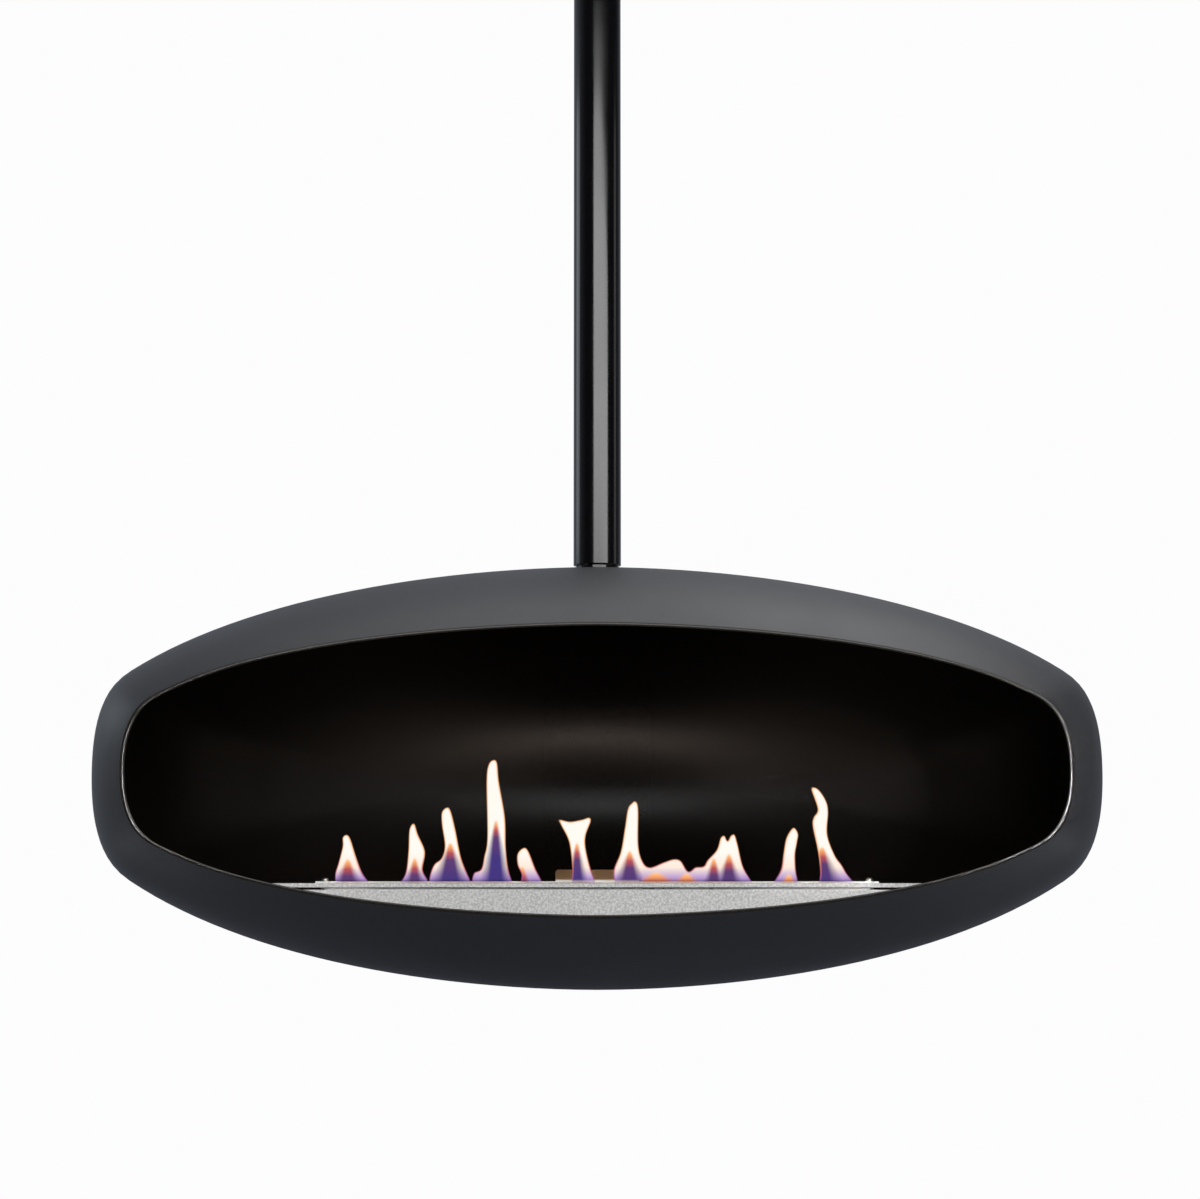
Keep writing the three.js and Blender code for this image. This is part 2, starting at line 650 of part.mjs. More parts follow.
// The slotted sheet that holds the fibre down under the flames.
function fibreGrille() {
  const low = fibreTop + SEAT_GAP;
  const [x0, x1] = [-tankEnd + insideTank, tankEnd - insideTank];
  const [y0, y1] = [tankFront + insideTank, tankRear - insideTank];
  const sheet = block([x0, y0, low], [x1, y1, low + GRILLE.thickness]);
  const pitch = (x1 - x0 - 2 * GRILLE.border + GRILLE.bar) / GRILLE.bars;
  const holes = [];
  for (let row = 0; row < GRILLE.rows; row += 1) {
    const y = slotMiddle + (row - (GRILLE.rows - 1) / 2) * (GRILLE.slotWidth + GRILLE.bar);
    for (let i = 0; i < GRILLE.bars; i += 1) {
      const x = x0 + GRILLE.border + i * pitch;
      holes.push(block(
        [x, y - GRILLE.slotWidth / 2, -BIG],
        [x + pitch - GRILLE.bar, y + GRILLE.slotWidth / 2, BIG],
      ));
    }
  }
  return cut(sheet, ...holes);
}

function slotDeck() {
  const plate = block([-casingEnd, casingFront, deckLow], [casingEnd, casingRear, deckTop]);
  const flameSlot = longHole(slotEnd, SLOT.width / 2, -BIG, BIG, 'x')
    .translate([0, slotMiddle, 0]);
  const guideRadius = LID_PIN.radius + LID_PIN.slotGap;
  const guides = [-lidPinX, lidPinX].map((x) => (
    longHole(lidTravel / 2 + guideRadius, guideRadius, -BIG, BIG, 'y')
      .translate([x, lidPinY - lidTravel / 2, 0])
  ));
  const { radius, headRadius, headHeight, holeGap } = DECK_SCREW;
  const screwHoles = atPosts((x, y) => turned([
    [0, -BIG],
    [radius + holeGap, -BIG],
    [radius + holeGap, deckTop - headHeight],
    [headRadius + holeGap, deckTop],
    [headRadius + holeGap, BIG],
    [0, BIG],
  ], SMALL_FACETS).translate([x, y, 0]));
  return cut(plate, flameSlot, ...guides, ...screwHoles);
}

// A countersunk screw with a cross-shaped drive.
function deckScrew() {
  const { radius, headRadius, headHeight, length } = DECK_SCREW;
  const { reach, width, depth } = SCREW_DRIVE;
  const body = turned([
    [0, deckTop - length],
    [radius, deckTop - length],
    [radius, deckTop - headHeight],
    [headRadius, deckTop],
    [0, deckTop],
  ], SMALL_FACETS);
  const across = block([-reach, -width / 2, deckTop - depth], [reach, width / 2, BIG]);
  return cut(body, across, across.rotate([0, 0, 90]));
}

// ---------------------------------------------------------------- snuffer lid
const lidLow = deckTop + LID.rideGap;
const lidHigh = lidLow + LID.thickness;
const lidEnd = slotEnd + LID.endOverhang;

// One folded sheet: the blade that covers the slot, and the tab turned up at its rear edge.
function snufferLid() {
  const blade = block([-lidEnd, lidFront, lidLow], [lidEnd, lidRear, lidHigh]);
  const half = LID_TAB.width / 2;
  const top = lidLow + LID_TAB.height;
  const shape = new THREE.Shape();
  shape.moveTo(-half, lidLow);
  shape.lineTo(half, lidLow);
  shape.lineTo(half, top - LID_TAB.corner);
  shape.absarc(half - LID_TAB.corner, top - LID_TAB.corner, LID_TAB.corner, 0, Math.PI / 2);
  shape.absarc(-half + LID_TAB.corner, top - LID_TAB.corner, LID_TAB.corner, Math.PI / 2, Math.PI);
  shape.closePath();
  const upright = new THREE.ExtrudeGeometry(shape, {
    depth: LID.thickness, bevelEnabled: false, curveSegments: 5,
  });
  upright.rotateX(Math.PI / 2);
  upright.translate(0, lidRear, 0);
  const holes = [-lidPinX, lidPinX].map((x) => (
    bar(LID_PIN.radius + RUNNING_GAP, -BIG, BIG, SMALL_FACETS).translate([x, lidPinY, 0])
  ));
  return cut(joined(blade, solid(upright)), ...holes);
}

const lidNutHigh = deckLow - LID_NUT.endPlay;

// A shouldered pin with a domed head that guides the lid in the deck's slot.
function lidPin() {
  const low = lidNutHigh - LID_NUT.height - LID_NUT.spare;
  const { radius, headRadius, headHeight } = LID_PIN;
  return turned([
    [0, low],
    [radius, low],
    [radius, lidHigh],
    [headRadius, lidHigh],
    ...PIN_DOME_RATIOS.map(([across, up]) => [headRadius * across, lidHigh + headHeight * up]),
    [0, lidHigh + headHeight],
  ], SMALL_FACETS);
}

function lidPinNut() {
  const nut = hexagon(LID_NUT.acrossFlats, lidNutHigh - LID_NUT.height, lidNutHigh);
  return cut(nut, bar(LID_PIN.radius + RUNNING_GAP, -BIG, BIG, SMALL_FACETS));
}

add(fire, 'body_shell', bodyShell(), blackPaint);
add(fire, 'spreader_plate', spreaderPlate(), zincSteel);
add(fire, 'clamp_washer', clampWasher, zincSteel);
add(fire, 'clamp_nut', clampNut(), zincSteel);
add(fire, 'cradle_left', cradle(-1), blackPaint);
add(fire, 'cradle_right', cradle(1), blackPaint);
add(fire, 'burner_casing', burnerCasing(), blastedSteel);
add(fire, 'fuel_tank', fuelTank(), stainless);
add(fire, 'ceramic_fibre', ceramicFibre, fibreWhite);
add(fire, 'fibre_grille', fibreGrille(), stainless);
add(fire, 'slot_deck', slotDeck(), blastedSteel);
const corners = ['front_left', 'front_right', 'rear_left', 'rear_right'];
atPosts((x, y) => deckScrew().translate([x, y, 0])).forEach((screw, i) => {
  add(fire, `deck_screw_${corners[i]}`, screw, stainless);
});
add(fire, 'snuffer_lid', snufferLid(), stainless);
for (const [side, x] of [['left', -lidPinX], ['right', lidPinX]]) {
  add(fire, `lid_pin_${side}`, lidPin().translate([x, lidPinY, 0]), stainless);
  add(fire, `lid_pin_nut_${side}`, lidPinNut().translate([x, lidPinY, 0]), stainless);
}

export default fireplace;
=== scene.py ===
# %% [markdown]
# # A hanging pebble fire
#
# The object is a steel fire shaped like a flat pebble, about a metre wide. It hangs from the
# ceiling on a black tube, turns on a bearing in the tube's end, and burns liquid fuel in a slot
# burner. The engineering model is loaded first and stays fixed. Everything made here is laid
# over it in the same coordinates, in metres, with +Z up and the mouth facing -Y.

# %% Load the engineering model
import json
import math

import bmesh
import bpy
import numpy as np
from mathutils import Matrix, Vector, noise
from mathutils.geometry import delaunay_2d_cdt

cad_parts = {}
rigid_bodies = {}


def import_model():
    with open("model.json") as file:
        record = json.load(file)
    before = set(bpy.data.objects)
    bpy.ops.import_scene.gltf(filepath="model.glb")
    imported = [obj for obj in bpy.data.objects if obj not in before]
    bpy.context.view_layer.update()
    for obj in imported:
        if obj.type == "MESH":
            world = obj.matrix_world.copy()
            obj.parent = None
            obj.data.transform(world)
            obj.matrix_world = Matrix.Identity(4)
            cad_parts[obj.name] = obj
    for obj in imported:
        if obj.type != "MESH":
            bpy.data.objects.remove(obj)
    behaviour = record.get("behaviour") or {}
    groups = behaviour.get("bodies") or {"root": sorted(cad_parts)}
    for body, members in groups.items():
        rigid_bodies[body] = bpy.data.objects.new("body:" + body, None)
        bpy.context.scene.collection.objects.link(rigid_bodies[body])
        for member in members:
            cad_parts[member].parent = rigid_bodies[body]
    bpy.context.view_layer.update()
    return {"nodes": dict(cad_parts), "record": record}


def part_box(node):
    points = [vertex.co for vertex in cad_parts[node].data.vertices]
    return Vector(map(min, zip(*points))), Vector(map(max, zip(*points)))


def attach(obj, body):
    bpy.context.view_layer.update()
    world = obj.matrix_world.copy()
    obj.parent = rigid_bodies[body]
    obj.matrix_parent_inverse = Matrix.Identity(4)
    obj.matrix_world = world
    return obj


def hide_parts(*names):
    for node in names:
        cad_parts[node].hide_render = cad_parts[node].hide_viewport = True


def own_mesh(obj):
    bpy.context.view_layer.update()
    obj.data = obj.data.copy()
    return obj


for leftover in list(bpy.data.objects):
    bpy.data.objects.remove(leftover)
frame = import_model()
nodes = frame["nodes"]
MM = 0.001
shell_low, shell_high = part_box("body_shell")
middle = (shell_low.z + shell_high.z) / 2
deck_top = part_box("slot_deck")[1].z
print("nodes:", len(nodes), "body middle at", round(middle, 4), "deck top at", round(deck_top, 4))

# %% [markdown]
# ## The camera
#
# The photograph was taken a little below the fire's middle, level with the burner's deck: the
# deck shows only its front edge, and the mouth stands slightly high in the body. The fire sits
# in the lower part of the picture, so the camera looks up by a few degrees. A tilt is used
# rather than a lens shift, because a shift would push the object out of the frame in every
# other view.

# %% Camera
EYE_DISTANCE = 3.0
EYE_TO_RIGHT = 0.0028
EYE_BELOW_MIDDLE = 0.105
RISE_OF_AIM = 0.2857
LENS = 89.4

tilt = math.atan(RISE_OF_AIM / EYE_DISTANCE)
camera_data = bpy.data.cameras.new("camera")
camera_data.lens = LENS
camera_data.sensor_width = 36
camera_data.sensor_fit = "HORIZONTAL"
camera_data.clip_end = 50
camera = bpy.data.objects.new("camera", camera_data)
bpy.context.scene.collection.objects.link(camera)
camera.location = (EYE_TO_RIGHT, -EYE_DISTANCE, middle - EYE_BELOW_MIDDLE)
camera.rotation_euler = (math.pi / 2 + tilt, 0, 0)
bpy.context.scene.camera = camera
print("camera tilt in degrees:", round(math.degrees(tilt), 2))

# %% [markdown]
# ## Studio
#
# Glossy black metal is drawn by what it mirrors. The pole shows a broad band from a large soft
# light in front, a narrow one from the left and a dim one from the right, with darkness in
# between, so those lights are placed where the mirror angles put them. The background is white
# to the camera only. What the metal sees is a dark room with a dim bluish wall behind the fire,
# brighter to the left. It is blended by the dot product of the view's direction and one
# direction, which is the shortest way to a wall that fades on both sides.

# %% World, white behind the object and dim around it
BRIGHT_WALL_DIRECTION = (-0.4, 0.917, 0)
WALL_FADE = (-0.3, 0.9)
WALL_STRENGTH = (0.02, 0.37)
WALL_TINT = (0.86, 0.93, 1.08, 1)
PAPER_WHITE = (0.98, 0.98, 0.985, 1)
world = bpy.data.worlds.new("studio")
bpy.context.scene.world = world
world.use_nodes = True
tree = world.node_tree
tree.nodes.clear()
view_settings = bpy.context.scene.view_settings
view_settings.view_transform = "Standard"
view_settings.look = "None"

toward = tree.nodes.new("ShaderNodeTexCoord")
facing = tree.nodes.new("ShaderNodeVectorMath")
facing.operation = "DOT_PRODUCT"
facing.inputs[1].default_value = BRIGHT_WALL_DIRECTION
behind = tree.nodes.new("ShaderNodeMapRange")
behind.interpolation_type = "SMOOTHSTEP"
behind.inputs["From Min"].default_value, behind.inputs["From Max"].default_value = WALL_FADE
behind.inputs["To Min"].default_value, behind.inputs["To Max"].default_value = WALL_STRENGTH
wall = tree.nodes.new("ShaderNodeBackground")
wall.inputs["Color"].default_value = WALL_TINT
paper = tree.nodes.new("ShaderNodeBackground")
paper.inputs["Color"].default_value = PAPER_WHITE
rays = tree.nodes.new("ShaderNodeLightPath")
seen = tree.nodes.new("ShaderNodeMixShader")
out = tree.nodes.new("ShaderNodeOutputWorld")
tree.links.new(toward.outputs["Generated"], facing.inputs[0])
tree.links.new(facing.outputs["Value"], behind.inputs["Value"])
tree.links.new(behind.outputs["Result"], wall.inputs["Strength"])
tree.links.new(rays.outputs["Is Camera Ray"], seen.inputs["Fac"])
tree.links.new(wall.outputs[0], seen.inputs[1])
tree.links.new(paper.outputs[0], seen.inputs[2])
tree.links.new(seen.outputs[0], out.inputs["Surface"])
print("world nodes:", len(tree.nodes))


# %% Soft lights
def soft_light(name, place, aim, width, height, radiance, tint=(1, 1, 1), spread=180):
    """A rectangular soft light whose brightness is given as it is seen, not as its power."""
    data = bpy.data.lights.new(name, "AREA")
    data.shape = "RECTANGLE"
    data.size, data.size_y = width, height
    data.energy = radiance * math.pi * width * height
    data.color = tint
    data.spread = math.radians(spread)
    light = bpy.data.objects.new(name, data)
    bpy.context.scene.collection.objects.link(light)
    light.location = place
    light.rotation_euler = (Vector(aim) - Vector(place)).to_track_quat("-Z", "Y").to_euler()
    light.visible_camera = False
    print(name, "radiance", radiance, "power", round(data.energy, 1))
    return light


soft_light("front light", place=(1.65, -3.5, middle + 1.08), aim=(1.65, 0, middle + 0.48),
           width=5.5, height=1.1, radiance=6.9)
soft_light("left light", place=(-2.3, 0.8, middle + 0.9), aim=(0, 0, middle + 0.45),
           width=1.15, height=0.85, radiance=1.55, tint=(0.86, 0.94, 1))
soft_light("right light", place=(2.5, 0.3, middle + 0.6), aim=(0, 0, middle + 0.3),
           width=0.6, height=1.4, radiance=0.7)
soft_light("overhead light", place=(0.35, 0.15, middle + 2.0), aim=(0.1, 0, middle),
           width=1.7, height=2.2, radiance=2.5)

# %% [markdown]
# ## Lights for the flanks and the lip
#
# Two low lights lift the pebble's lower corners out of the dark floor's reflection. The lip of
# the mouth shows a short bright line on each side. A flat edge that faces the viewer mirrors
# what stands beside the camera, so a small narrow beam is put there for each side and aimed at
# that edge alone.

# %% Low lights and lip lights
for side, low, lip in ((-1, 1.05, 0.55), (1, 0.7, 1.3)):
    soft_light(f"low light {side}", place=(1.35 * side, 0.15, middle - 0.9),
               aim=(0.45 * side, -0.2, middle - 0.1), width=0.7, height=0.7,
               radiance=low, tint=(0.84, 0.92, 1))
    soft_light(f"lip light {side}", place=(0.96 * side, -3.5, middle + 0.055),
               aim=(0.44 * side, -0.235, middle - 0.03), width=0.16, height=0.16,
               radiance=lip, spread=8)

# %% [markdown]
# ## The floor
#
# The belly of the pebble and the pole's lower end mirror the floor. A wide disc of dull paint,
# darker than the background, gives the belly its even dark grey. It is only a stage.

# %% Floor
FLOOR_DROP = 1.15
FLOOR_RADIUS = 3.4
bpy.ops.mesh.primitive_circle_add(vertices=128, radius=FLOOR_RADIUS, fill_type="NGON",
                                  location=(0, 0, middle - FLOOR_DROP))
floor = bpy.context.object
floor.name = "floor"
floor_paint = bpy.data.materials.new("floor_paint")
floor_paint.use_nodes = True
floor_shader = floor_paint.node_tree.nodes["Principled BSDF"]
floor_shader.inputs["Base Color"].default_value = (0.24, 0.25, 0.29, 1)
floor_shader.inputs["Roughness"].default_value = 0.9
floor.data.materials.append(floor_paint)
print("floor at", round(middle - FLOOR_DROP, 3))

# %% [markdown]
# ## Shared finish effects
#
# Four effects come back in many of the finishes, so each is one node group with named sockets:
# the fine grain of paint or blasted metal, the soft edge every real corner has, the fine lines
# that brushing leaves, and the faint cloudiness of a surface that has been handled.


# %% Group maker
def effect(name, inputs, outputs):
    """A node group with named value inputs and outputs."""
    group = bpy.data.node_groups.new(name, "ShaderNodeTree")
    for socket, value in inputs:
        made = group.interface.new_socket(socket, in_out="INPUT", socket_type="NodeSocketFloat")
        made.default_value = value
    for socket, kind in outputs:
        group.interface.new_socket(socket, in_out="OUTPUT", socket_type=kind)
    enter = group.nodes.new("NodeGroupInput")
    leave = group.nodes.new("NodeGroupOutput")
    return group, enter, leave


def add_node(tree, kind, settings=(), **inputs):
    """A node with its settings and with its inputs set or linked."""
    node = tree.nodes.new(kind)
    for key, value in dict(settings).items():
        setattr(node, key, value)
    for key, value in inputs.items():
        numbered = key[0] == "_" and key[1:].isdigit()
        socket = node.inputs[int(key[1:]) if numbered else key.replace("_", " ")]
        if isinstance(value, bpy.types.NodeSocket):
            tree.links.new(value, socket)
        else:
            socket.default_value = value
    return node


# %% Grain: fine bumps and the speckle that goes with them
grain, enter, leave = effect(
    "fine_grain",
    [("Grains per Metre", 900.0), ("Clump per Metre", 60.0)],
    [("Height", "NodeSocketFloat"), ("Speckle", "NodeSocketFloat")],
)
place = add_node(grain, "ShaderNodeTexCoord")
fine = add_node(grain, "ShaderNodeTexNoise", Vector=place.outputs["Object"],
                Scale=enter.outputs["Grains per Metre"], Detail=2.0, Roughness=0.6)
clump = add_node(grain, "ShaderNodeTexNoise", Vector=place.outputs["Object"],
                 Scale=enter.outputs["Clump per Metre"], Detail=3.0)
height = add_node(grain, "ShaderNodeMath", {"operation": "MULTIPLY_ADD"},
                  _0=clump.outputs["Fac"], _1=0.25, _2=fine.outputs["Fac"])
speckle = add_node(grain, "ShaderNodeMapRange", {"interpolation_type": "SMOOTHSTEP"},
                   Value=fine.outputs["Fac"], From_Min=0.32, From_Max=0.68)
grain.links.new(height.outputs[0], leave.inputs["Height"])
grain.links.new(speckle.outputs["Result"], leave.inputs["Speckle"])

# %% Soft edges: a rounded normal at corners, and a mask of where they are rubbed
edges, enter, leave = effect(
    "soft_edges", [("Radius", 0.0006), ("Rub", 6.0)],
    [("Normal", "NodeSocketVector"), ("Rubbed", "NodeSocketFloat")],
)
rounded = add_node(edges, "ShaderNodeBevel", {"samples": 6}, Radius=enter.outputs["Radius"])
sharp = add_node(edges, "ShaderNodeNewGeometry")
alike = add_node(edges, "ShaderNodeVectorMath", {"operation": "DOT_PRODUCT"},
                 _0=rounded.outputs["Normal"], _1=sharp.outputs["Normal"])
apart = add_node(edges, "ShaderNodeMath", {"operation": "SUBTRACT"}, _0=1.0, _1=alike.outputs["Value"])
rubbed = add_node(edges, "ShaderNodeMath", {"operation": "MULTIPLY", "use_clamp": True},
                  _0=apart.outputs[0], _1=enter.outputs["Rub"])
edges.links.new(rounded.outputs["Normal"], leave.inputs["Normal"])
edges.links.new(rubbed.outputs[0], leave.inputs["Rubbed"])

# %% Brushed lines along X
brushed, enter, leave = effect(
    "brushed_lines", [("Lines per Metre", 1400.0), ("Length Share", 0.02)],
    [("Height", "NodeSocketFloat"), ("Streak", "NodeSocketFloat")],
)
place = add_node(brushed, "ShaderNodeTexCoord")
stretch = add_node(brushed, "ShaderNodeCombineXYZ", X=enter.outputs["Length Share"], Y=1.0, Z=1.0)
drawn = add_node(brushed, "ShaderNodeVectorMath", {"operation": "MULTIPLY"},
                 _0=place.outputs["Object"], _1=stretch.outputs[0])
lines = add_node(brushed, "ShaderNodeTexNoise", Vector=drawn.outputs[0],
                 Scale=enter.outputs["Lines per Metre"], Detail=2.0, Roughness=0.5)
streak = add_node(brushed, "ShaderNodeMapRange", {"interpolation_type": "SMOOTHSTEP"},
                  Value=lines.outputs["Fac"], From_Min=0.35, From_Max=0.65)
brushed.links.new(lines.outputs["Fac"], leave.inputs["Height"])
brushed.links.new(streak.outputs["Result"], leave.inputs["Streak"])

# %% Cloudiness: slow changes over a hand's width
cloudy, enter, leave = effect(
    "cloudiness", [("Clouds per Metre", 7.0), ("Low", 0.0), ("High", 1.0)],
    [("Value", "NodeSocketFloat")],
)
place = add_node(cloudy, "ShaderNodeTexCoord")
drift = add_node(cloudy, "ShaderNodeTexNoise", Vector=place.outputs["Object"],
                 Scale=enter.outputs["Clouds per Metre"], Detail=4.0, Roughness=0.55)
spread = add_node(cloudy, "ShaderNodeMapRange", {"interpolation_type": "SMOOTHSTEP"},
                  Value=drift.outputs["Fac"], From_Min=0.3, From_Max=0.7,
                  To_Min=enter.outputs["Low"], To_Max=enter.outputs["High"])
cloudy.links.new(spread.outputs["Result"], leave.inputs["Value"])
print("effects:", [g.name for g in bpy.data.node_groups])

# %% [markdown]
# ## Finishes
#
# Each finish is one material. Its shader holds the values that are the same everywhere, and the
# shared effects feed what changes over the surface: colour, roughness and the bump.


# %% Finish helpers
def place_effect(tree, group, **values):
    node = tree.nodes.new("ShaderNodeGroup")
    node.node_tree = group
    for key, value in values.items():
        node.inputs[key.replace("_", " ")].default_value = value
    return node


def blend_colours(tree, factor, first, second):
    node = tree.nodes.new("ShaderNodeMix")
    node.data_type = "RGBA"
    tree.links.new(factor, node.inputs[0])
    for socket, colour in ((node.inputs[6], first), (node.inputs[7], second)):
        if isinstance(colour, bpy.types.NodeSocket):
            tree.links.new(colour, socket)
        else:
            socket.default_value = (*colour, 1)
    return node.outputs[2]


def new_finish(name, **plain):
    material = bpy.data.materials.new(name)
    material.use_nodes = True
    tree = material.node_tree
    shader = tree.nodes["Principled BSDF"]
    for key, value in plain.items():
        shader.inputs[key.replace("_", " ")].default_value = value
    return material, tree, shader


def bump_onto(tree, shader, height, distance, under=None):
    node = add_node(tree, "ShaderNodeBump", Height=height, Distance=distance, Strength=1.0)
    if under is not None:
        tree.links.new(under, node.inputs["Normal"])
    tree.links.new(node.outputs["Normal"], shader.inputs["Normal"])


def varied(tree, mask, low, high):
    return add_node(tree, "ShaderNodeMapRange", Value=mask, To_Min=low, To_Max=high).outputs["Result"]


# %% [markdown]
# ## Stove paint
#
# Heat-proof paint is matt and slightly rough to the touch, because it is sprayed thin and
# baked. Two near blacks are blended by the grain, the same grain is the bump, and corners are
# rubbed a little lighter.

# %% Heat-proof stove paint, matt with a fine grain
def stove_paint(name, dark, light, rough, grain_size, depth):
    material, tree, shader = new_finish(name, IOR=1.5)
    texture = place_effect(tree, grain, Grains_per_Metre=grain_size, Clump_per_Metre=45.0)
    clouds = place_effect(tree, cloudy, Clouds_per_Metre=5.0, Low=0.0, High=1.0)
    soft = place_effect(tree, edges, Radius=0.0006, Rub=3.0)
    speck = blend_colours(tree, texture.outputs["Speckle"], dark, light)
    rubbed = blend_colours(tree, soft.outputs["Rubbed"], speck, [c * 1.6 for c in light])
    tree.links.new(rubbed, shader.inputs["Base Color"])
    rough_now = varied(tree, clouds.outputs["Value"], rough - 0.03, rough + 0.04)
    tree.links.new(rough_now, shader.inputs["Roughness"])
    bump_onto(tree, shader, texture.outputs["Height"], depth, under=soft.outputs["Normal"])
    return material


finishes = {}
finishes["stove_paint"] = stove_paint(
    "stove_paint", (0.017, 0.018, 0.020), (0.030, 0.031, 0.034), 0.5, 1000.0, 0.00012)
print("outside:", finishes["stove_paint"].name)

# %% [markdown]
# ## The paint inside
#
# Inside, the same paint is blacker and browner. The dark is painted shade for the hollow, and the
# brown is painted warm light from the flames. It is smooth enough behind the flames to mirror them
# as a soft band, and dull towards the ends. The distance from the middle is read from the object's
# own coordinates and drives the roughness.

# %% The paint inside: burnished behind the flames, dull with soot towards the ends
BURNISHED, SOOTY, SOOT_REACH = 0.25, 0.62, 0.38
# Painted shade and painted warm flame light: the inside is a darker, browner copy of the outside paint.
shaded_inner_paint = stove_paint(
    "stove_paint_inside_shaded", (0.0022, 0.0016, 0.0011), (0.0055, 0.0038, 0.0027), 0.3, 900.0, 0.00008)
tree = shaded_inner_paint.node_tree
shader = tree.nodes["Principled BSDF"]
shader.inputs["Specular IOR Level"].default_value = 0.12
place = add_node(tree, "ShaderNodeTexCoord")
along = add_node(tree, "ShaderNodeSeparateXYZ", Vector=place.outputs["Object"])
from_middle = add_node(tree, "ShaderNodeMath", {"operation": "ABSOLUTE"}, _0=along.outputs["X"])
soot = add_node(tree, "ShaderNodeMapRange", {"interpolation_type": "SMOOTHSTEP"},
                Value=from_middle.outputs[0], From_Min=0.0, From_Max=SOOT_REACH,
                To_Min=BURNISHED, To_Max=SOOTY)
tree.links.new(soot.outputs["Result"], shader.inputs["Roughness"])
print("inside:", shaded_inner_paint.name, "roughness", BURNISHED, "to", SOOTY)

# %% [markdown]
# ## Pole enamel
#
# The pole's enamel is smooth, so it draws its lights as clean stripes. Only a very shallow bump
# and a slow change of roughness keep those stripes from looking drawn with a ruler.

# %% Satin enamel of the pole
material, tree, shader = new_finish("pole_gloss", IOR=1.5)
texture = place_effect(tree, grain, Grains_per_Metre=350.0, Clump_per_Metre=25.0)
clouds = place_effect(tree, cloudy, Clouds_per_Metre=9.0, Low=0.12, High=0.17)
shade = blend_colours(tree, texture.outputs["Speckle"], (0.0025, 0.0025, 0.003), (0.004, 0.004, 0.0045))
tree.links.new(shade, shader.inputs["Base Color"])
tree.links.new(clouds.outputs["Value"], shader.inputs["Roughness"])
bump_onto(tree, shader, texture.outputs["Height"], 0.00001)
finishes["pole_gloss"] = material
print("pole:", material.name)

# %% [markdown]
# ## Bare metals
#
# Zinc plate, bearing steel, bronze and stainless steel differ in colour, in roughness and in
# how their lines run, so one function makes them all.

# %% Bare metals
def bare_metal(name, dark, light, rough, lines=1400.0, share=0.02, depth=0.00002):
    material, tree, shader = new_finish(name, Metallic=1.0)
    texture = place_effect(tree, brushed, Lines_per_Metre=lines, Length_Share=share)
    clouds = place_effect(tree, cloudy, Clouds_per_Metre=14.0, Low=0.0, High=1.0)
    soft = place_effect(tree, edges, Radius=0.0004, Rub=3.0)
    streaks = blend_colours(tree, texture.outputs["Streak"], dark, light)
    bright = blend_colours(tree, soft.outputs["Rubbed"], streaks, [min(1, c * 1.25) for c in light])
    tree.links.new(bright, shader.inputs["Base Color"])
    rough_now = varied(tree, clouds.outputs["Value"], rough - 0.05, rough + 0.08)
    tree.links.new(rough_now, shader.inputs["Roughness"])
    bump_onto(tree, shader, texture.outputs["Height"], depth, under=soft.outputs["Normal"])
    return material


finishes["zinc_steel"] = bare_metal(
    "zinc_steel", (0.38, 0.39, 0.40), (0.52, 0.53, 0.54), 0.42, 300.0, 1.0)
finishes["bearing_steel"] = bare_metal(
    "bearing_steel", (0.52, 0.53, 0.54), (0.64, 0.65, 0.66), 0.2, 2500.0, 0.3, 0.000005)
finishes["bronze"] = bare_metal("bronze", (0.42, 0.24, 0.09), (0.56, 0.34, 0.14), 0.34, 900.0, 0.2)
STAINLESS = ((0.42, 0.42, 0.41), (0.55, 0.55, 0.54), 0.32)
finishes["stainless"] = bare_metal("stainless", *STAINLESS)
print("metals:", [name for name in finishes if "paint" not in name])

# %% [markdown]
# ## The lid's painted flame light
#
# The snuffer lid is stainless steel too. Its upright tab stands in the flames, and their warm
# light on it is painted into its colour as brown. The height above the deck is the mask: below it
# the steel keeps its plain colour, where the plate lies on the deck.

# %% Steel of the snuffer lid, with painted flame light on its tab
FLAME_LIGHT_STARTS, FLAME_LIGHT_FULL = deck_top + 0.0018, deck_top + 0.0045
FLAME_LIGHT_BROWN = (0.12, 0.075, 0.042)
lid_steel = bare_metal("lid_steel", *STAINLESS)
tree = lid_steel.node_tree
shader = tree.nodes["Principled BSDF"]
bare = shader.inputs["Base Color"].links[0].from_socket
place = add_node(tree, "ShaderNodeTexCoord")
up = add_node(tree, "ShaderNodeSeparateXYZ", Vector=place.outputs["Object"])
# Painted flame light: the steel turns brown with height above the deck.
flame_light_mask = add_node(tree, "ShaderNodeMapRange", {"interpolation_type": "SMOOTHSTEP"},
                     Value=up.outputs["Z"], From_Min=FLAME_LIGHT_STARTS, From_Max=FLAME_LIGHT_FULL)
flame_lit_colour = blend_colours(tree, flame_light_mask.outputs["Result"], bare, FLAME_LIGHT_BROWN)
tree.links.new(flame_lit_colour, shader.inputs["Base Color"])
finishes["lid_steel"] = lid_steel
print("tint from", round(FLAME_LIGHT_STARTS, 4), "to", round(FLAME_LIGHT_FULL, 4))

# %% [markdown]
# ## Blasted steel
#
# The burner's face is pale and granular, as bead blasting leaves it. It scatters light like
# chalk more than like a mirror, so it is only a little metallic, with a coarse speckle.

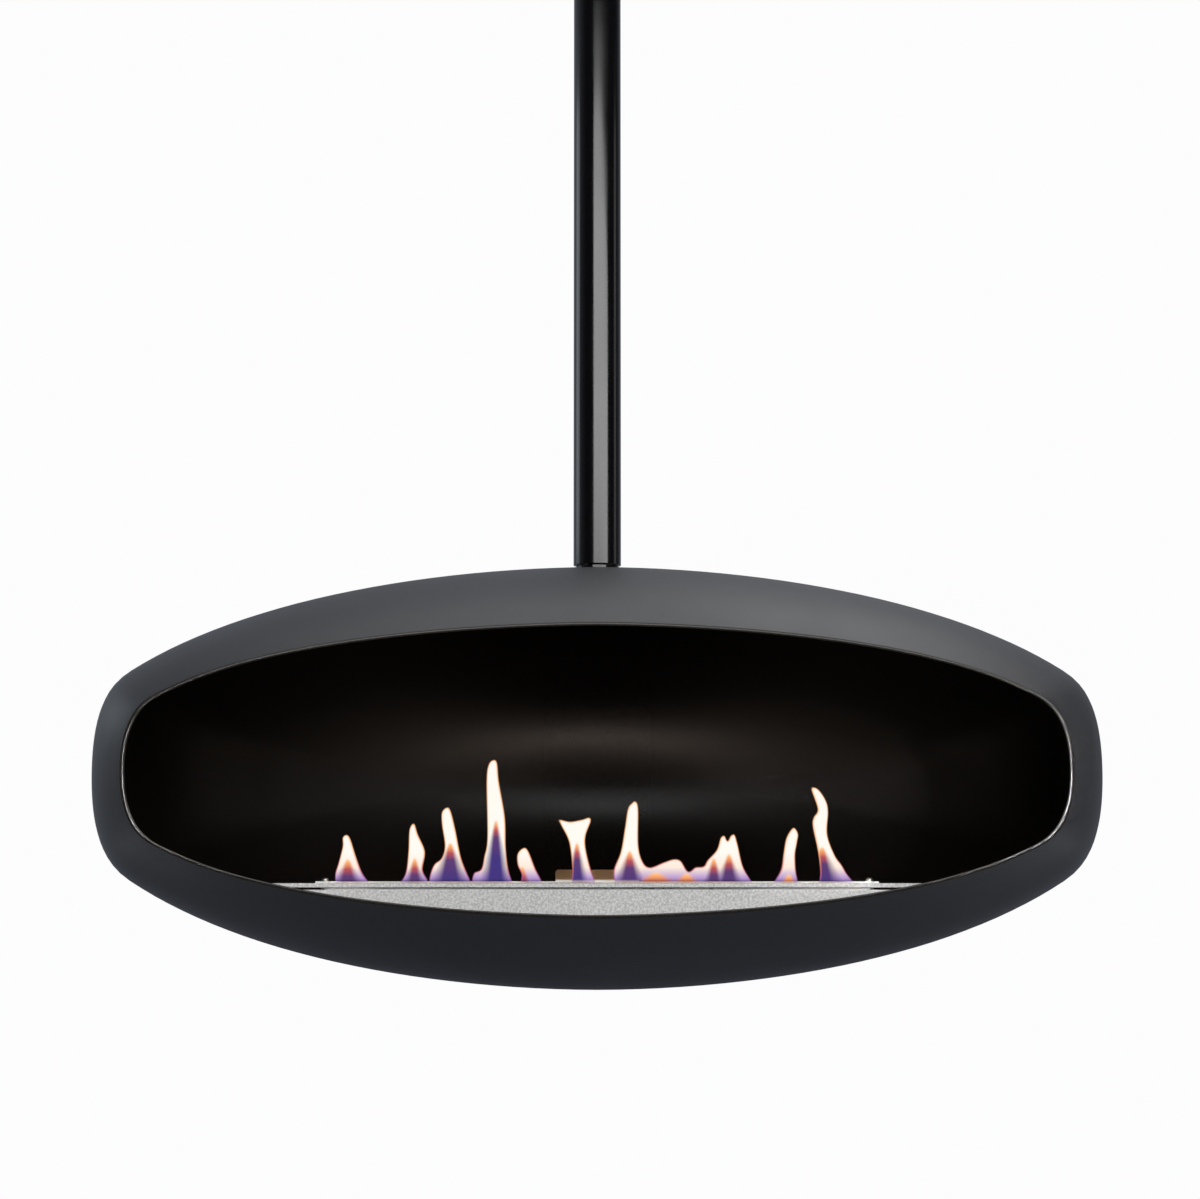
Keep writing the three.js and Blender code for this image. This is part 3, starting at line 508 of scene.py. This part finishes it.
# %% Blasted steel of the burner's face, pale and granular
material, tree, shader = new_finish("blasted_steel", Metallic=0.2)
texture = place_effect(tree, grain, Grains_per_Metre=420.0, Clump_per_Metre=70.0)
soft = place_effect(tree, edges, Radius=0.0005, Rub=2.0)
shade = blend_colours(tree, texture.outputs["Speckle"], (0.58, 0.58, 0.57), (0.85, 0.85, 0.84))
tree.links.new(shade, shader.inputs["Base Color"])
tree.links.new(varied(tree, texture.outputs["Speckle"], 0.62, 0.5), shader.inputs["Roughness"])
bump_onto(tree, shader, texture.outputs["Height"], 0.00025, under=soft.outputs["Normal"])
finishes["blasted_steel"] = material
print("blasted:", material.name)

# %% [markdown]
# ## Ceramic fibre
#
# The wick is white ceramic wool, scorched in patches. Clouds of a warm grey are laid over its
# fine tufts.

# %% Matted ceramic fibre
material, tree, shader = new_finish("ceramic_fibre", Roughness=0.95)
texture = place_effect(tree, grain, Grains_per_Metre=1500.0, Clump_per_Metre=120.0)
clouds = place_effect(tree, cloudy, Clouds_per_Metre=30.0, Low=0.0, High=1.0)
tuft = blend_colours(tree, texture.outputs["Speckle"], (0.50, 0.48, 0.44), (0.76, 0.74, 0.70))
scorched = blend_colours(tree, clouds.outputs["Value"], tuft, (0.42, 0.37, 0.31))
tree.links.new(scorched, shader.inputs["Base Color"])
bump_onto(tree, shader, texture.outputs["Height"], 0.0006)
finishes["ceramic_fibre"] = material
print("fibre:", material.name)

# %% [markdown]
# ## Finishes on the engineering model
#
# Every engineering node takes the finish that its record names, so pieces that stay hidden, such
# as the bearing, are finished too. Only the lid gets its own steel, because of the painted flame
# light on its tab.

# %% Give every engineering node its finish
for part in frame["record"]["subparts"]:
    thing = nodes[part["node"]]
    finish = "lid_steel" if part["node"] == "snuffer_lid" else part["material_slot"]
    thing.data.materials.clear()
    thing.data.materials.append(finishes[finish])
print("finishes:", sorted(finishes))

# %% [markdown]
# ## The pebble body
#
# The real shell is steel sheet, pressed and welded into one smooth pebble, with its mouth cut
# by an upright plane. The engineering model has the same form in coarse facets. Here the same
# curves are followed at a finer pitch: an outline of two cubic curves for each quarter, which
# narrows from ring to ring towards nose and back and grows fuller towards the mouth. The cut
# edge gets its own loops, because the thin rounded lip is what catches the light.

# %% Pebble curves, in millimetres
HALF_WIDTH, HALF_DEPTH, HALF_HEIGHT = 489.0, 300.0, 210.7
WALL = 2.5
PLAN_ROUNDNESS, SIDE_ROUNDNESS = 4.28, 2.11
MOUTH_Y = -234.7
# How far the inner handles stand from the shoulder, across and up, on the crown and the side.
CROWN_HANDLE, SIDE_HANDLE = (0.2647, 0.4187), (0.0338, 0.0534)
CROWN_STEPS, SIDE_STEPS = 26, 14
# Crown lead, shoulder across, shoulder up and flank lead, as shares of the half sizes.
WAIST = np.array([0.229, 0.937, 0.496, 0.348])
MOUTH = np.array([0.067, 0.897, 0.559, 0.458])


def spaced(curve, count):
    """Points at even steps along a cubic curve."""
    t = np.linspace(0, 1, 400)[:, None]
    a, b, c, d = (np.array(p, float) for p in curve)
    line = (1 - t) ** 3 * a + 3 * (1 - t) ** 2 * t * b + 3 * (1 - t) * t * t * c + t ** 3 * d
    run = np.concatenate([[0], np.cumsum(np.hypot(*np.diff(line, axis=0).T))])
    steps = np.linspace(0, run[-1], count + 1)
    return np.column_stack([np.interp(steps, run, line[:, i]) for i in (0, 1)])


def pebble_outline(fullness):
    """The section once round, as shares of the half sizes: 0 is the waist, 1 the mouth."""
    lead, across, up, flank = WAIST + (MOUTH - WAIST) * fullness
    crown_handle = (across - CROWN_HANDLE[0], up + CROWN_HANDLE[1])
    side_handle = (across + SIDE_HANDLE[0], up - SIDE_HANDLE[1])
    crown = [(0, 1), (lead, 1), crown_handle, (across, up)]
    side = [(across, up), side_handle, (1, flank), (1, 0)]
    quarter = np.vstack([spaced(crown, CROWN_STEPS), spaced(side, SIDE_STEPS)[1:]])
    right = np.vstack([quarter, quarter[:-1][::-1] * (1, -1)])
    return np.vstack([right, right[1:-1][::-1] * (-1, 1)])


print("outline points:", len(pebble_outline(0)))


# %% [markdown]
# ## Rings of the shell
#
# The skin is a stack of rings from the mouth's plane to the back, and the inside is the same
# stack drawn in by the wall. Rings stand close together at the lip, so that its rounding stays
# crisp. The middle of a quarter arc is a blend of its two ends and its corner.

# %% Rings of the shell
LIP_STEPS = (0.14, 0.4, 0.9)
FIRST_EVEN_STEP, LAST_ANGLE = 1.6, 89.3
LIP_ROUNDING = 0.45
ARC_END, ARC_CORNER = 0.293, 0.414


def narrowing(share, roundness):
    return (1 - abs(share) ** roundness) ** (1 / roundness)


def skin_ring(angle, inset):
    """One ring of the pebble, drawn in by an inset."""
    share = math.sin(angle)
    ring = pebble_outline(min(1.0, (share * HALF_DEPTH / MOUTH_Y) ** 2))
    x = ring[:, 0] * (HALF_WIDTH - inset) * narrowing(share, PLAN_ROUNDNESS)
    z = ring[:, 1] * (HALF_HEIGHT - inset) * narrowing(share, SIDE_ROUNDNESS)
    return np.column_stack([x, np.full(len(ring), share * (HALF_DEPTH - inset)), z])


def skin_rings(inset, rows=46):
    """The ring at the mouth's plane, and the rings from there to the back."""
    start, end = math.asin(MOUTH_Y / (HALF_DEPTH - inset)), math.radians(LAST_ANGLE)
    rings = [skin_ring(start + math.radians(step), inset) for step in LIP_STEPS]
    first = start + math.radians(FIRST_EVEN_STEP)
    for row in range(rows + 1):
        rings.append(skin_ring(first + (end - first) * row / rows, inset))
    return skin_ring(start, inset), rings


outer_edge, outer_rings = skin_rings(0)
inner_edge, inner_rings = skin_rings(WALL)
across = inner_edge - outer_edge
width = np.linalg.norm(across, axis=1)[:, None]
outer_flat = outer_edge + across * (LIP_ROUNDING / width)
inner_flat = inner_edge - across * (LIP_ROUNDING / width)
outer_round = ARC_END * (outer_rings[0] + outer_flat) + ARC_CORNER * outer_edge
inner_round = ARC_END * (inner_rings[0] + inner_flat) + ARC_CORNER * inner_edge
lip = [outer_round, outer_flat, (outer_edge + inner_edge) / 2, inner_flat, inner_round]
print("lip width in mm:", round(float(width.min()), 2), "to", round(float(width.max()), 2))


# %% Mesh maker
def mesh_object(name, points, faces, materials, face_materials=None):
    """A smooth mesh from points in millimetres."""
    mesh = bpy.data.meshes.new(name)
    mesh.from_pydata([tuple(p) for p in np.asarray(points) * MM], [], faces)
    if face_materials is not None:
        mesh.polygons.foreach_set("material_index", face_materials)
    build = bmesh.new()
    build.from_mesh(mesh)
    bmesh.ops.recalc_face_normals(build, faces=build.faces)
    build.to_mesh(mesh)
    build.free()
    for material in materials:
        mesh.materials.append(material)
    mesh.polygons.foreach_set("use_smooth", [True] * len(mesh.polygons))
    thing = bpy.data.objects.new(name, mesh)
    bpy.context.scene.collection.objects.link(thing)
    return thing


# %% [markdown]
# ## The worn lip
#
# The paint on the mouth's cut edge is rubbed smooth, and its colour is a little browner than the
# rest. It is a third finish on the same mesh, because edge, outside and inside are one sheet of steel.

# %% Lip finish and shell
lip_paint, tree, shader = new_finish("worn_lip", Specular_IOR_Level=0.2)
texture = place_effect(tree, grain, Grains_per_Metre=700.0, Clump_per_Metre=30.0)
shade = blend_colours(tree, texture.outputs["Speckle"], (0.012, 0.011, 0.010), (0.030, 0.026, 0.020))
tree.links.new(shade, shader.inputs["Base Color"])
tree.links.new(varied(tree, texture.outputs["Speckle"], 0.18, 0.12), shader.inputs["Roughness"])
bump_onto(tree, shader, texture.outputs["Height"], 0.00001)

rows = outer_rings[::-1] + lip + inner_rings
lip_from, inside_from = len(outer_rings) - 1, len(outer_rings) + len(lip)
count = len(outer_edge)
points = np.vstack(rows + [[[0, HALF_DEPTH, 0]], [[0, HALF_DEPTH - WALL, 0]]])
points[:, 2] += middle / MM
faces, face_kinds = [], []
for row in range(len(rows) - 1):
    kind = 0 if row < lip_from else 1 if row < inside_from else 2
    for i in range(count):
        j = (i + 1) % count
        faces.append((row * count + i, row * count + j, (row + 1) * count + j, (row + 1) * count + i))
        face_kinds.append(kind)
last = (len(rows) - 1) * count
for i in range(count):
    j = (i + 1) % count
    faces += [(i, j, len(points) - 2), (last + i, last + j, len(points) - 1)]
    face_kinds += [0, 2]
shell = mesh_object("fire_shell", points, faces,
                    [finishes["stove_paint"], lip_paint, shaded_inner_paint], face_kinds)
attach(shell, "fire")
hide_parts("body_shell")
print("shell faces:", len(faces))

# %% [markdown]
# ## Turned pieces
#
# The pole is a drawn tube, the canopy a spun cover and the pins are turned. All are figures of
# revolution, so each is spun from a section whose corners are rounded first: a real tube end is
# never knife sharp, and the rounding is what makes a thin bright line there.


# %% Section rounding and spinning
def rounded_section(corners, radius, closed):
    """The corners of a section, each replaced by a small arc with a support point either side."""
    made = []
    n = len(corners)
    for i, corner in enumerate(corners):
        here = np.array(corner, float)
        if not closed and i in (0, n - 1):
            made.append(here)
            continue
        before, after = np.array(corners[i - 1], float), np.array(corners[(i + 1) % n], float)
        to_before, to_after = before - here, after - here
        size = min(radius, 0.3 * np.linalg.norm(to_before), 0.3 * np.linalg.norm(to_after))
        start = here + to_before / np.linalg.norm(to_before) * size
        end = here + to_after / np.linalg.norm(to_after) * size
        made.append(start + (start - here) * 0.5)
        for t in (0, 0.25, 0.5, 0.75, 1):
            made.append((1 - t) ** 2 * start + 2 * t * (1 - t) * here + t * t * end)
        made.append(end + (end - here) * 0.5)
    return made


def spun(name, corners, radius, material, at=(0, 0), closed=True, steps=96):
    """A section of (distance from the axis, height) in millimetres, spun about the vertical."""
    section = rounded_section(corners, radius, closed)
    build = bmesh.new()
    ring = [build.verts.new((r * MM, 0, h * MM)) for r, h in section]
    pairs = list(zip(ring, ring[1:])) + ([(ring[-1], ring[0])] if closed else [])
    lines = [build.edges.new(pair) for pair in pairs]
    bmesh.ops.spin(build, geom=ring + lines, cent=(0, 0, 0), axis=(0, 0, 1),
                   angle=2 * math.pi, steps=steps, use_merge=True)
    bmesh.ops.remove_doubles(build, verts=build.verts, dist=1e-7)
    bmesh.ops.recalc_face_normals(build, faces=build.faces)
    bmesh.ops.translate(build, verts=build.verts, vec=(at[0] * MM, at[1] * MM, 0))
    mesh = bpy.data.meshes.new(name)
    build.to_mesh(mesh)
    build.free()
    mesh.materials.append(material)
    mesh.polygons.foreach_set("use_smooth", [True] * len(mesh.polygons))
    thing = bpy.data.objects.new(name, mesh)
    bpy.context.scene.collection.objects.link(thing)
    return thing


# %% [markdown]
# ## Pole and canopy
#
# The pole is plain tube with a 3 mm wall, cut square. The canopy is spun from 1.5 mm sheet, so
# its lower corner has a wide radius. Both take their outer sizes from the engineering model.

# %% Pole and canopy
low, high = (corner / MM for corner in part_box("pole"))
pole_radius, pole_wall = high.x, 3.0
pole_tube = spun("pole_tube", [
    (pole_radius - pole_wall, low.z), (pole_radius, low.z),
    (pole_radius, high.z), (pole_radius - pole_wall, high.z),
], 0.5, finishes["pole_gloss"], steps=128)
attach(pole_tube, "ceiling_pole")
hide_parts("pole")

low, high = (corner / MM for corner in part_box("canopy"))
cover_wall, cover_hole = 1.5, pole_radius + 0.6
canopy_cover = spun("canopy_cover", [
    (cover_hole, low.z), (high.x, low.z), (high.x, high.z),
    (high.x - cover_wall, high.z), (high.x - cover_wall, low.z + cover_wall),
    (cover_hole, low.z + cover_wall),
], 2.5, finishes["stove_paint"], steps=128)
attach(canopy_cover, "ceiling_pole")
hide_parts("canopy")
print("pole radius in mm:", round(pole_radius, 2))

# %% [markdown]
# ## Lid pins
#
# Two shouldered pins guide the snuffer lid. They show in the photograph as small glints at the
# ends of the burner, so their domed heads are spun smooth instead of keeping their facets.

# %% Lid pins
STEM_RADIUS, LID_PLATE = 2.4, 1.5
for side in ("left", "right"):
    low, high = (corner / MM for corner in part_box(f"lid_pin_{side}"))
    head = (high.x - low.x) / 2
    lid_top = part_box("snuffer_lid")[0].z / MM + LID_PLATE
    rise = high.z - lid_top
    centre = ((low.x + high.x) / 2, (low.y + high.y) / 2)
    pin = spun(f"guide_pin_{side}", [
        (0, low.z), (STEM_RADIUS, low.z), (STEM_RADIUS, lid_top), (head, lid_top),
        (head, lid_top + 0.5 * rise), (head * 0.85, lid_top + 0.85 * rise),
        (head * 0.45, lid_top + 0.98 * rise), (0, high.z),
    ], 0.5, finishes["stainless"], at=centre, closed=False, steps=40)
    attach(pin, "lid")
    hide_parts(f"lid_pin_{side}")
print("lid pin head in mm:", round(2 * head, 2))

# %% [markdown]
# ## Wick fibre
#
# The fuel soaks into ceramic wool under the slot. The engineering model keeps it as a block, so
# its top is remade here as a fine grid pushed up and down a little by noise, which gives the
# tufted look of matted wool.

# %% Wick fibre
TUFT_SINK, TUFT_HEIGHT, TUFTS_PER_MM = 0.9, 0.8, 0.12
low, high = (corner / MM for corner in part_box("ceramic_fibre"))
across_x, across_y = 180, 36
xs, ys = np.linspace(low.x, high.x, across_x), np.linspace(low.y, high.y, across_y)
top, bottom = [], []
for y in ys:
    for x in xs:
        rough = noise.fractal(Vector((x, y, 0)) * TUFTS_PER_MM, 1.0, 2.0, 3)
        top.append((x, y, high.z - TUFT_SINK + TUFT_HEIGHT * max(-1.0, min(1.0, rough))))
        bottom.append((x, y, low.z))
grid = [(r * across_x + c, r * across_x + c + 1, (r + 1) * across_x + c + 1, (r + 1) * across_x + c)
        for r in range(across_y - 1) for c in range(across_x - 1)]
under = len(top)
rim = ([c for c in range(across_x)] + [r * across_x + across_x - 1 for r in range(1, across_y)]
       + [(across_y - 1) * across_x + c for c in range(across_x - 2, -1, -1)]
       + [r * across_x for r in range(across_y - 2, 0, -1)])
sides = [(a, b, b + under, a + under) for a, b in zip(rim, rim[1:] + rim[:1])]
wick = mesh_object("wick_fibre", top + bottom,
                   grid + [tuple(v + under for v in reversed(f)) for f in grid] + sides,
                   [finishes["ceramic_fibre"]])
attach(wick, "fire")
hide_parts("ceramic_fibre")
print("wick faces:", len(wick.data.polygons))

# %% [markdown]
# ## Flames
#
# Alcohol burns with tall, clear-edged tongues: creamy yellow light above, an orange and red
# wedge low in the middle, and a blue and violet foot where the vapour first burns. Each tongue
# is an outline filled with a fine net and puffed out to both sides like a lens. The net carries
# four measures that the finish reads: the distance to the rim, the height above the deck, how
# far a point lies in a dark wedge, and how far it lies below that wedge's tip.

# %% Flame outlines: along the slot and up from the deck, in millimetres
FLAMES = {
    "flame_1": [(-259, 0), (-259, 10), (-256, 20), (-252, 36), (-252, 45), (-248, 48),
                (-244, 44), (-238, 26), (-231, 9), (-222, 0)],
    "flame_2": [(-198, 0), (-190, 9), (-187, 31), (-186, 53), (-181, 59), (-177, 48),
                (-171, 35), (-170, 27), (-172, 13), (-167, 3), (-167, 0)],
    "flame_3": [(-167, 0), (-165, 10), (-161, 19), (-154, 25), (-151, 37), (-154, 58),
                (-154, 70), (-149, 75), (-145, 72), (-140, 53), (-135, 28), (-130, 14), (-123, 0)],
    "flame_4": [(-125, 0), (-122, 10), (-115, 14), (-112, 26), (-109, 45), (-110, 100),
                (-108, 117), (-103, 122), (-99, 119), (-97, 100), (-91, 65), (-90, 34),
                (-87, 12), (-82, 0)],
    "flame_5": [(-77, 0), (-75, 8), (-79, 18), (-79, 29), (-73, 35), (-68, 32), (-60, 13), (-52, 0)],
    "flame_6": [(-26, 0), (-25, 14), (-28, 40), (-36, 57), (-38, 63), (-27, 61), (-15, 63),
                (-8, 65), (-6, 61), (-11, 47), (-11, 34), (-6, 14), (0, 0)],
    "flame_7": [(17, 0), (16, 13), (23, 31), (27, 54), (30, 73), (34, 79), (38, 81), (41, 73),
                (41, 38), (45, 22), (52, 16), (66, 21), (76, 24), (83, 22), (90, 12), (97, 16),
                (105, 17), (109, 23), (118, 33), (122, 45), (126, 47), (129, 42), (132, 47),
                (136, 48), (139, 39), (144, 18), (151, 5), (157, 0)],
    "flame_8": [(172, 0), (181, 13), (184, 30), (187, 45), (194, 55), (199, 49), (198, 40),
                (196, 28), (197, 10), (200, 0)],
    "flame_9": [(218, 0), (220, 10), (218, 31), (213, 56), (214, 65), (218, 73), (212, 92),
                (214, 95), (220, 92), (227, 81), (229, 70), (228, 48), (235, 28), (242, 18),
                (248, 8), (257, 0)],
}
# The wedges: where the point is, along and up, and how fast it widens below it.
WEDGES = {
    "flame_1": [(-246, 25, 0.45)],
    "flame_2": [(-180, 26, 0.3)],
    "flame_3": [(-145, 41, 0.38)],
    "flame_4": [(-100, 63, 0.2)],
    "flame_5": [(-74, 18, 0.35)],
    "flame_6": [(-20, 41, 0.22)],
    "flame_7": [(32, 33, 0.38), (88, 11, 1.0), (58, 12, 1.6), (115, 26, 0.3), (130, 30, 0.35)],
    "flame_8": [(189, 10, 0.6)],
    "flame_9": [(222, 37, 0.45)],
}
SLOT_SETBACK = 62
FOOT = -1.5
deck_low, deck_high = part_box("slot_deck")
slot_y = deck_low.y / MM + SLOT_SETBACK
print("flames:", len(FLAMES), "outline points:", sum(len(points) for points in FLAMES.values()))


# %% [markdown]
# ## The flames' net
#
# A flame is glowing gas. It has no skin, only an edge where the glow fades. The outline is run
# as a smooth curve through its points, and the inside is filled with a net of even triangles,
# so that measures kept on its points blend smoothly.

# %% Flame net
def smooth_outline(points, step=1.3):
    """A closed curve through the points, in even short steps. The foot stays straight."""
    points = [(x, FOOT if z < 1.5 else z) for x, z in points]
    p = np.array(points, float)
    n = len(p)
    line = []
    for i in range(n - 1):
        a, b, c, d = p[max(i - 1, 0)], p[i], p[i + 1], p[min(i + 2, n - 1)]
        pieces = max(2, int(np.linalg.norm(c - b) / step))
        for k in range(pieces):
            t = k / pieces
            line.append(0.5 * (2 * b + (c - a) * t + (2 * a - 5 * b + 4 * c - d) * t * t
                               + (3 * b - a - 3 * c + d) * t ** 3))
    line.append(p[-1])
    foot = np.linspace(p[-1], p[0], max(3, int(np.linalg.norm(p[0] - p[-1]) / step)))[1:-1]
    return np.vstack([line, foot])


def distance_to(outline_points, points):
    """Shortest distance from each point to the closed outline."""
    a, b = outline_points, np.roll(outline_points, -1, axis=0)
    span = b - a
    t = np.einsum("pki,ki->pk", points[:, None] - a[None], span) / (span ** 2).sum(1)
    near = a[None] + np.clip(t, 0, 1)[..., None] * span[None]
    return np.linalg.norm(points[:, None] - near, axis=2).min(1)


def inside(outline_points, points):
    """Which points lie inside the closed outline, by counting crossings."""
    a, b = outline_points, np.roll(outline_points, -1, axis=0)
    x, y = points[:, :1], points[:, 1:]
    level = (a[:, 1] > y) != (b[:, 1] > y)
    cross = a[:, 0] + (y - a[:, 1]) / (b[:, 1] - a[:, 1] + 1e-12) * (b[:, 0] - a[:, 0])
    return (level & (x < cross)).sum(1) % 2 == 1


def flame_net(edge, pitch=1.5):
    low, high = edge.min(0), edge.max(0)
    xs, zs = np.arange(low[0], high[0], pitch), np.arange(low[1], high[1], pitch * 0.87)
    spots = np.array([(x + (pitch / 2 if k % 2 else 0), z) for k, z in enumerate(zs) for x in xs])
    spots = spots[inside(edge, spots)]
    spots = spots[distance_to(edge, spots) > 0.6]
    every = [Vector(p) for p in np.vstack([edge, spots])]
    made, _, faces, *_ = delaunay_2d_cdt(every, [], [list(range(len(edge)))], 1, 1e-5)
    return np.array([tuple(v) for v in made]), [tuple(f) for f in faces]


# %% [markdown]
# ## Flame finish
#
# A flame gives light and mirrors none, so its shader is black but for the emission. The camera
# sees the drawn colours. Everything else sees one warm glow, which lights the metal around it.

# %% Flame finish
GLOW = (2.2, 1.7, 1.35)
flame_finish, tree, shader = new_finish("flame", Roughness=1.0, Emission_Strength=1.0)
shader.inputs["Base Color"].default_value = (0, 0, 0, 1)
shader.inputs["Specular IOR Level"].default_value = 0.0


def measure(name):
    return add_node(tree, "ShaderNodeAttribute", {"attribute_name": name}).outputs["Fac"]


def ramp(tree, value, low, high, stops):
    """Colours along a measure, from low to high."""
    share = add_node(tree, "ShaderNodeMapRange", Value=value, From_Min=low, From_Max=high)
    node = add_node(tree, "ShaderNodeValToRGB", Fac=share.outputs["Result"])
    band = node.color_ramp
    while len(band.elements) < len(stops):
        band.elements.new(0.5)
    for element, (at, colour) in zip(band.elements, stops):
        element.position, element.color = at, (*colour, 1)
    return node.outputs["Color"]


rim_mm, rise_mm = measure("rim"), measure("rise")
wedge_in, wedge_drop = measure("wedge"), measure("drop")
body_light = ramp(tree, rise_mm, 0, 60, [
    (0.0, (0.22, 0.15, 0.48)), (0.10, (0.52, 0.36, 0.66)), (0.26, (1.0, 0.84, 0.72)),
    (0.5, (1.0, 0.97, 0.90)),
])
wedge_light = ramp(tree, wedge_drop, 0, 40, [
    (0.0, (1.0, 0.80, 0.50)), (0.12, (1.0, 0.42, 0.16)), (0.28, (0.50, 0.09, 0.10)),
    (0.45, (0.12, 0.05, 0.17)), (1.0, (0.06, 0.04, 0.22)),
])
in_wedge = blend_colours(tree, wedge_in, body_light, wedge_light)
near_rim = add_node(tree, "ShaderNodeMapRange", {"interpolation_type": "SMOOTHSTEP"},
                    Value=rim_mm, From_Min=0.6, From_Max=2.4).outputs["Result"]
fringe = ramp(tree, rise_mm, 0, 40, [
    (0.0, (0.25, 0.10, 0.42)), (0.35, (0.62, 0.16, 0.16)), (0.8, (1.0, 0.50, 0.22)),
])
all_light = blend_colours(tree, near_rim, fringe, in_wedge)
rays = tree.nodes.new("ShaderNodeLightPath")
glow = blend_colours(tree, rays.outputs["Is Camera Ray"], GLOW, all_light)
tree.links.new(glow, shader.inputs["Emission Color"])
veil = add_node(tree, "ShaderNodeMapRange", {"interpolation_type": "SMOOTHSTEP"},
                Value=rim_mm, From_Min=0.0, From_Max=1.6).outputs["Result"]
foot = add_node(tree, "ShaderNodeMapRange", {"interpolation_type": "SMOOTHSTEP"},
                Value=rise_mm, From_Min=-1.0, From_Max=7.0).outputs["Result"]
cover = add_node(tree, "ShaderNodeMath", {"operation": "MULTIPLY"}, _0=veil, _1=foot)
tree.links.new(cover.outputs[0], shader.inputs["Alpha"])
print("flame finish nodes:", len(tree.nodes))

# %% [markdown]
# ## The glow on the deck and behind it
#
# Real flames are far brighter than a picture can show. Two lights stand in for what is lost.
# One hangs over the slot and looks down, so it warms the deck and the lid. The other looks at
# the back wall from just behind the deck and shows only in reflections, as the soft band there.

# %% Glow lights
over_slot = (0, slot_y * MM, deck_top + 0.045)
flame_glow = soft_light("flame glow", place=over_slot, aim=(0, slot_y * MM, deck_top),
                        width=0.52, height=0.05, radiance=5.0, tint=(1, 0.8, 0.62))
flame_glow.visible_glossy = False
behind_deck = Vector((0, deck_high.y + 0.05, deck_top + 0.006))
slot_glow = soft_light("slot glow", place=behind_deck, aim=behind_deck + Vector((0, 1, 0.544)),
                       width=0.6, height=0.02, radiance=15.0, tint=(1, 0.82, 0.7))
slot_glow.visible_diffuse = False

# %% [markdown]
# ## Light the burner
#
# The front and the back of each tongue share their rim, so it closes like a lens. The flames
# stand on the deck's slot and turn with the fire.

# %% Light the burner
PUFF, LENS_WIDTH = 0.8, 16
WEDGE_TIP, WEDGE_GROWTH, WEDGE_EDGE, WEDGE_START = 1.2, 1.3, 1.6, 3
for name, points in FLAMES.items():
    edge = smooth_outline(points)
    net, faces = flame_net(edge)
    rim_now = distance_to(edge, net)
    rim_now[rim_now < 1e-3] = 0
    puff = PUFF * np.sqrt(np.clip(rim_now * (LENS_WIDTH - rim_now), 0, None))
    wedge, drop = np.zeros(len(net)), np.zeros(len(net))
    for x, z, widen in WEDGES[name]:
        below = z - net[:, 1]
        reach = WEDGE_TIP + WEDGE_GROWTH * widen * np.clip(below, 0, None)
        mask = np.clip(WEDGE_EDGE * (1 - np.abs(net[:, 0] - x) / reach), 0, 1)
        mask = mask * np.clip(below / WEDGE_START, 0, 1)
        drop = np.where(mask > wedge, below, drop)
        wedge = np.maximum(wedge, mask)
    front = np.column_stack([net[:, 0], slot_y - puff, net[:, 1]])
    on_rim = np.flatnonzero(rim_now == 0)
    twin = np.arange(len(net)) + len(net)
    twin[on_rim] = on_rim
    back = np.column_stack([net[:, 0], slot_y + puff, net[:, 1]])
    points_all = np.vstack([front, back])
    points_all[:, 2] += deck_top / MM
    back_faces = [tuple(int(twin[v]) for v in reversed(f)) for f in faces]
    flame = mesh_object(name, points_all, faces + back_faces, [flame_finish])
    for label, values in (("rim", rim_now), ("rise", net[:, 1]), ("wedge", wedge), ("drop", drop)):
        layer = flame.data.attributes.new(label, "FLOAT", "POINT")
        layer.data.foreach_set("value", np.concatenate([values, values]).astype(np.float32))
    loose = bmesh.new()
    loose.from_mesh(flame.data)
    bmesh.ops.delete(loose, geom=[v for v in loose.verts if not v.link_faces], context="VERTS")
    loose.to_mesh(flame.data)
    loose.free()
    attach(flame, "fire")
    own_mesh(flame)
    print(name, "net points", len(net), "faces", len(flame.data.polygons))
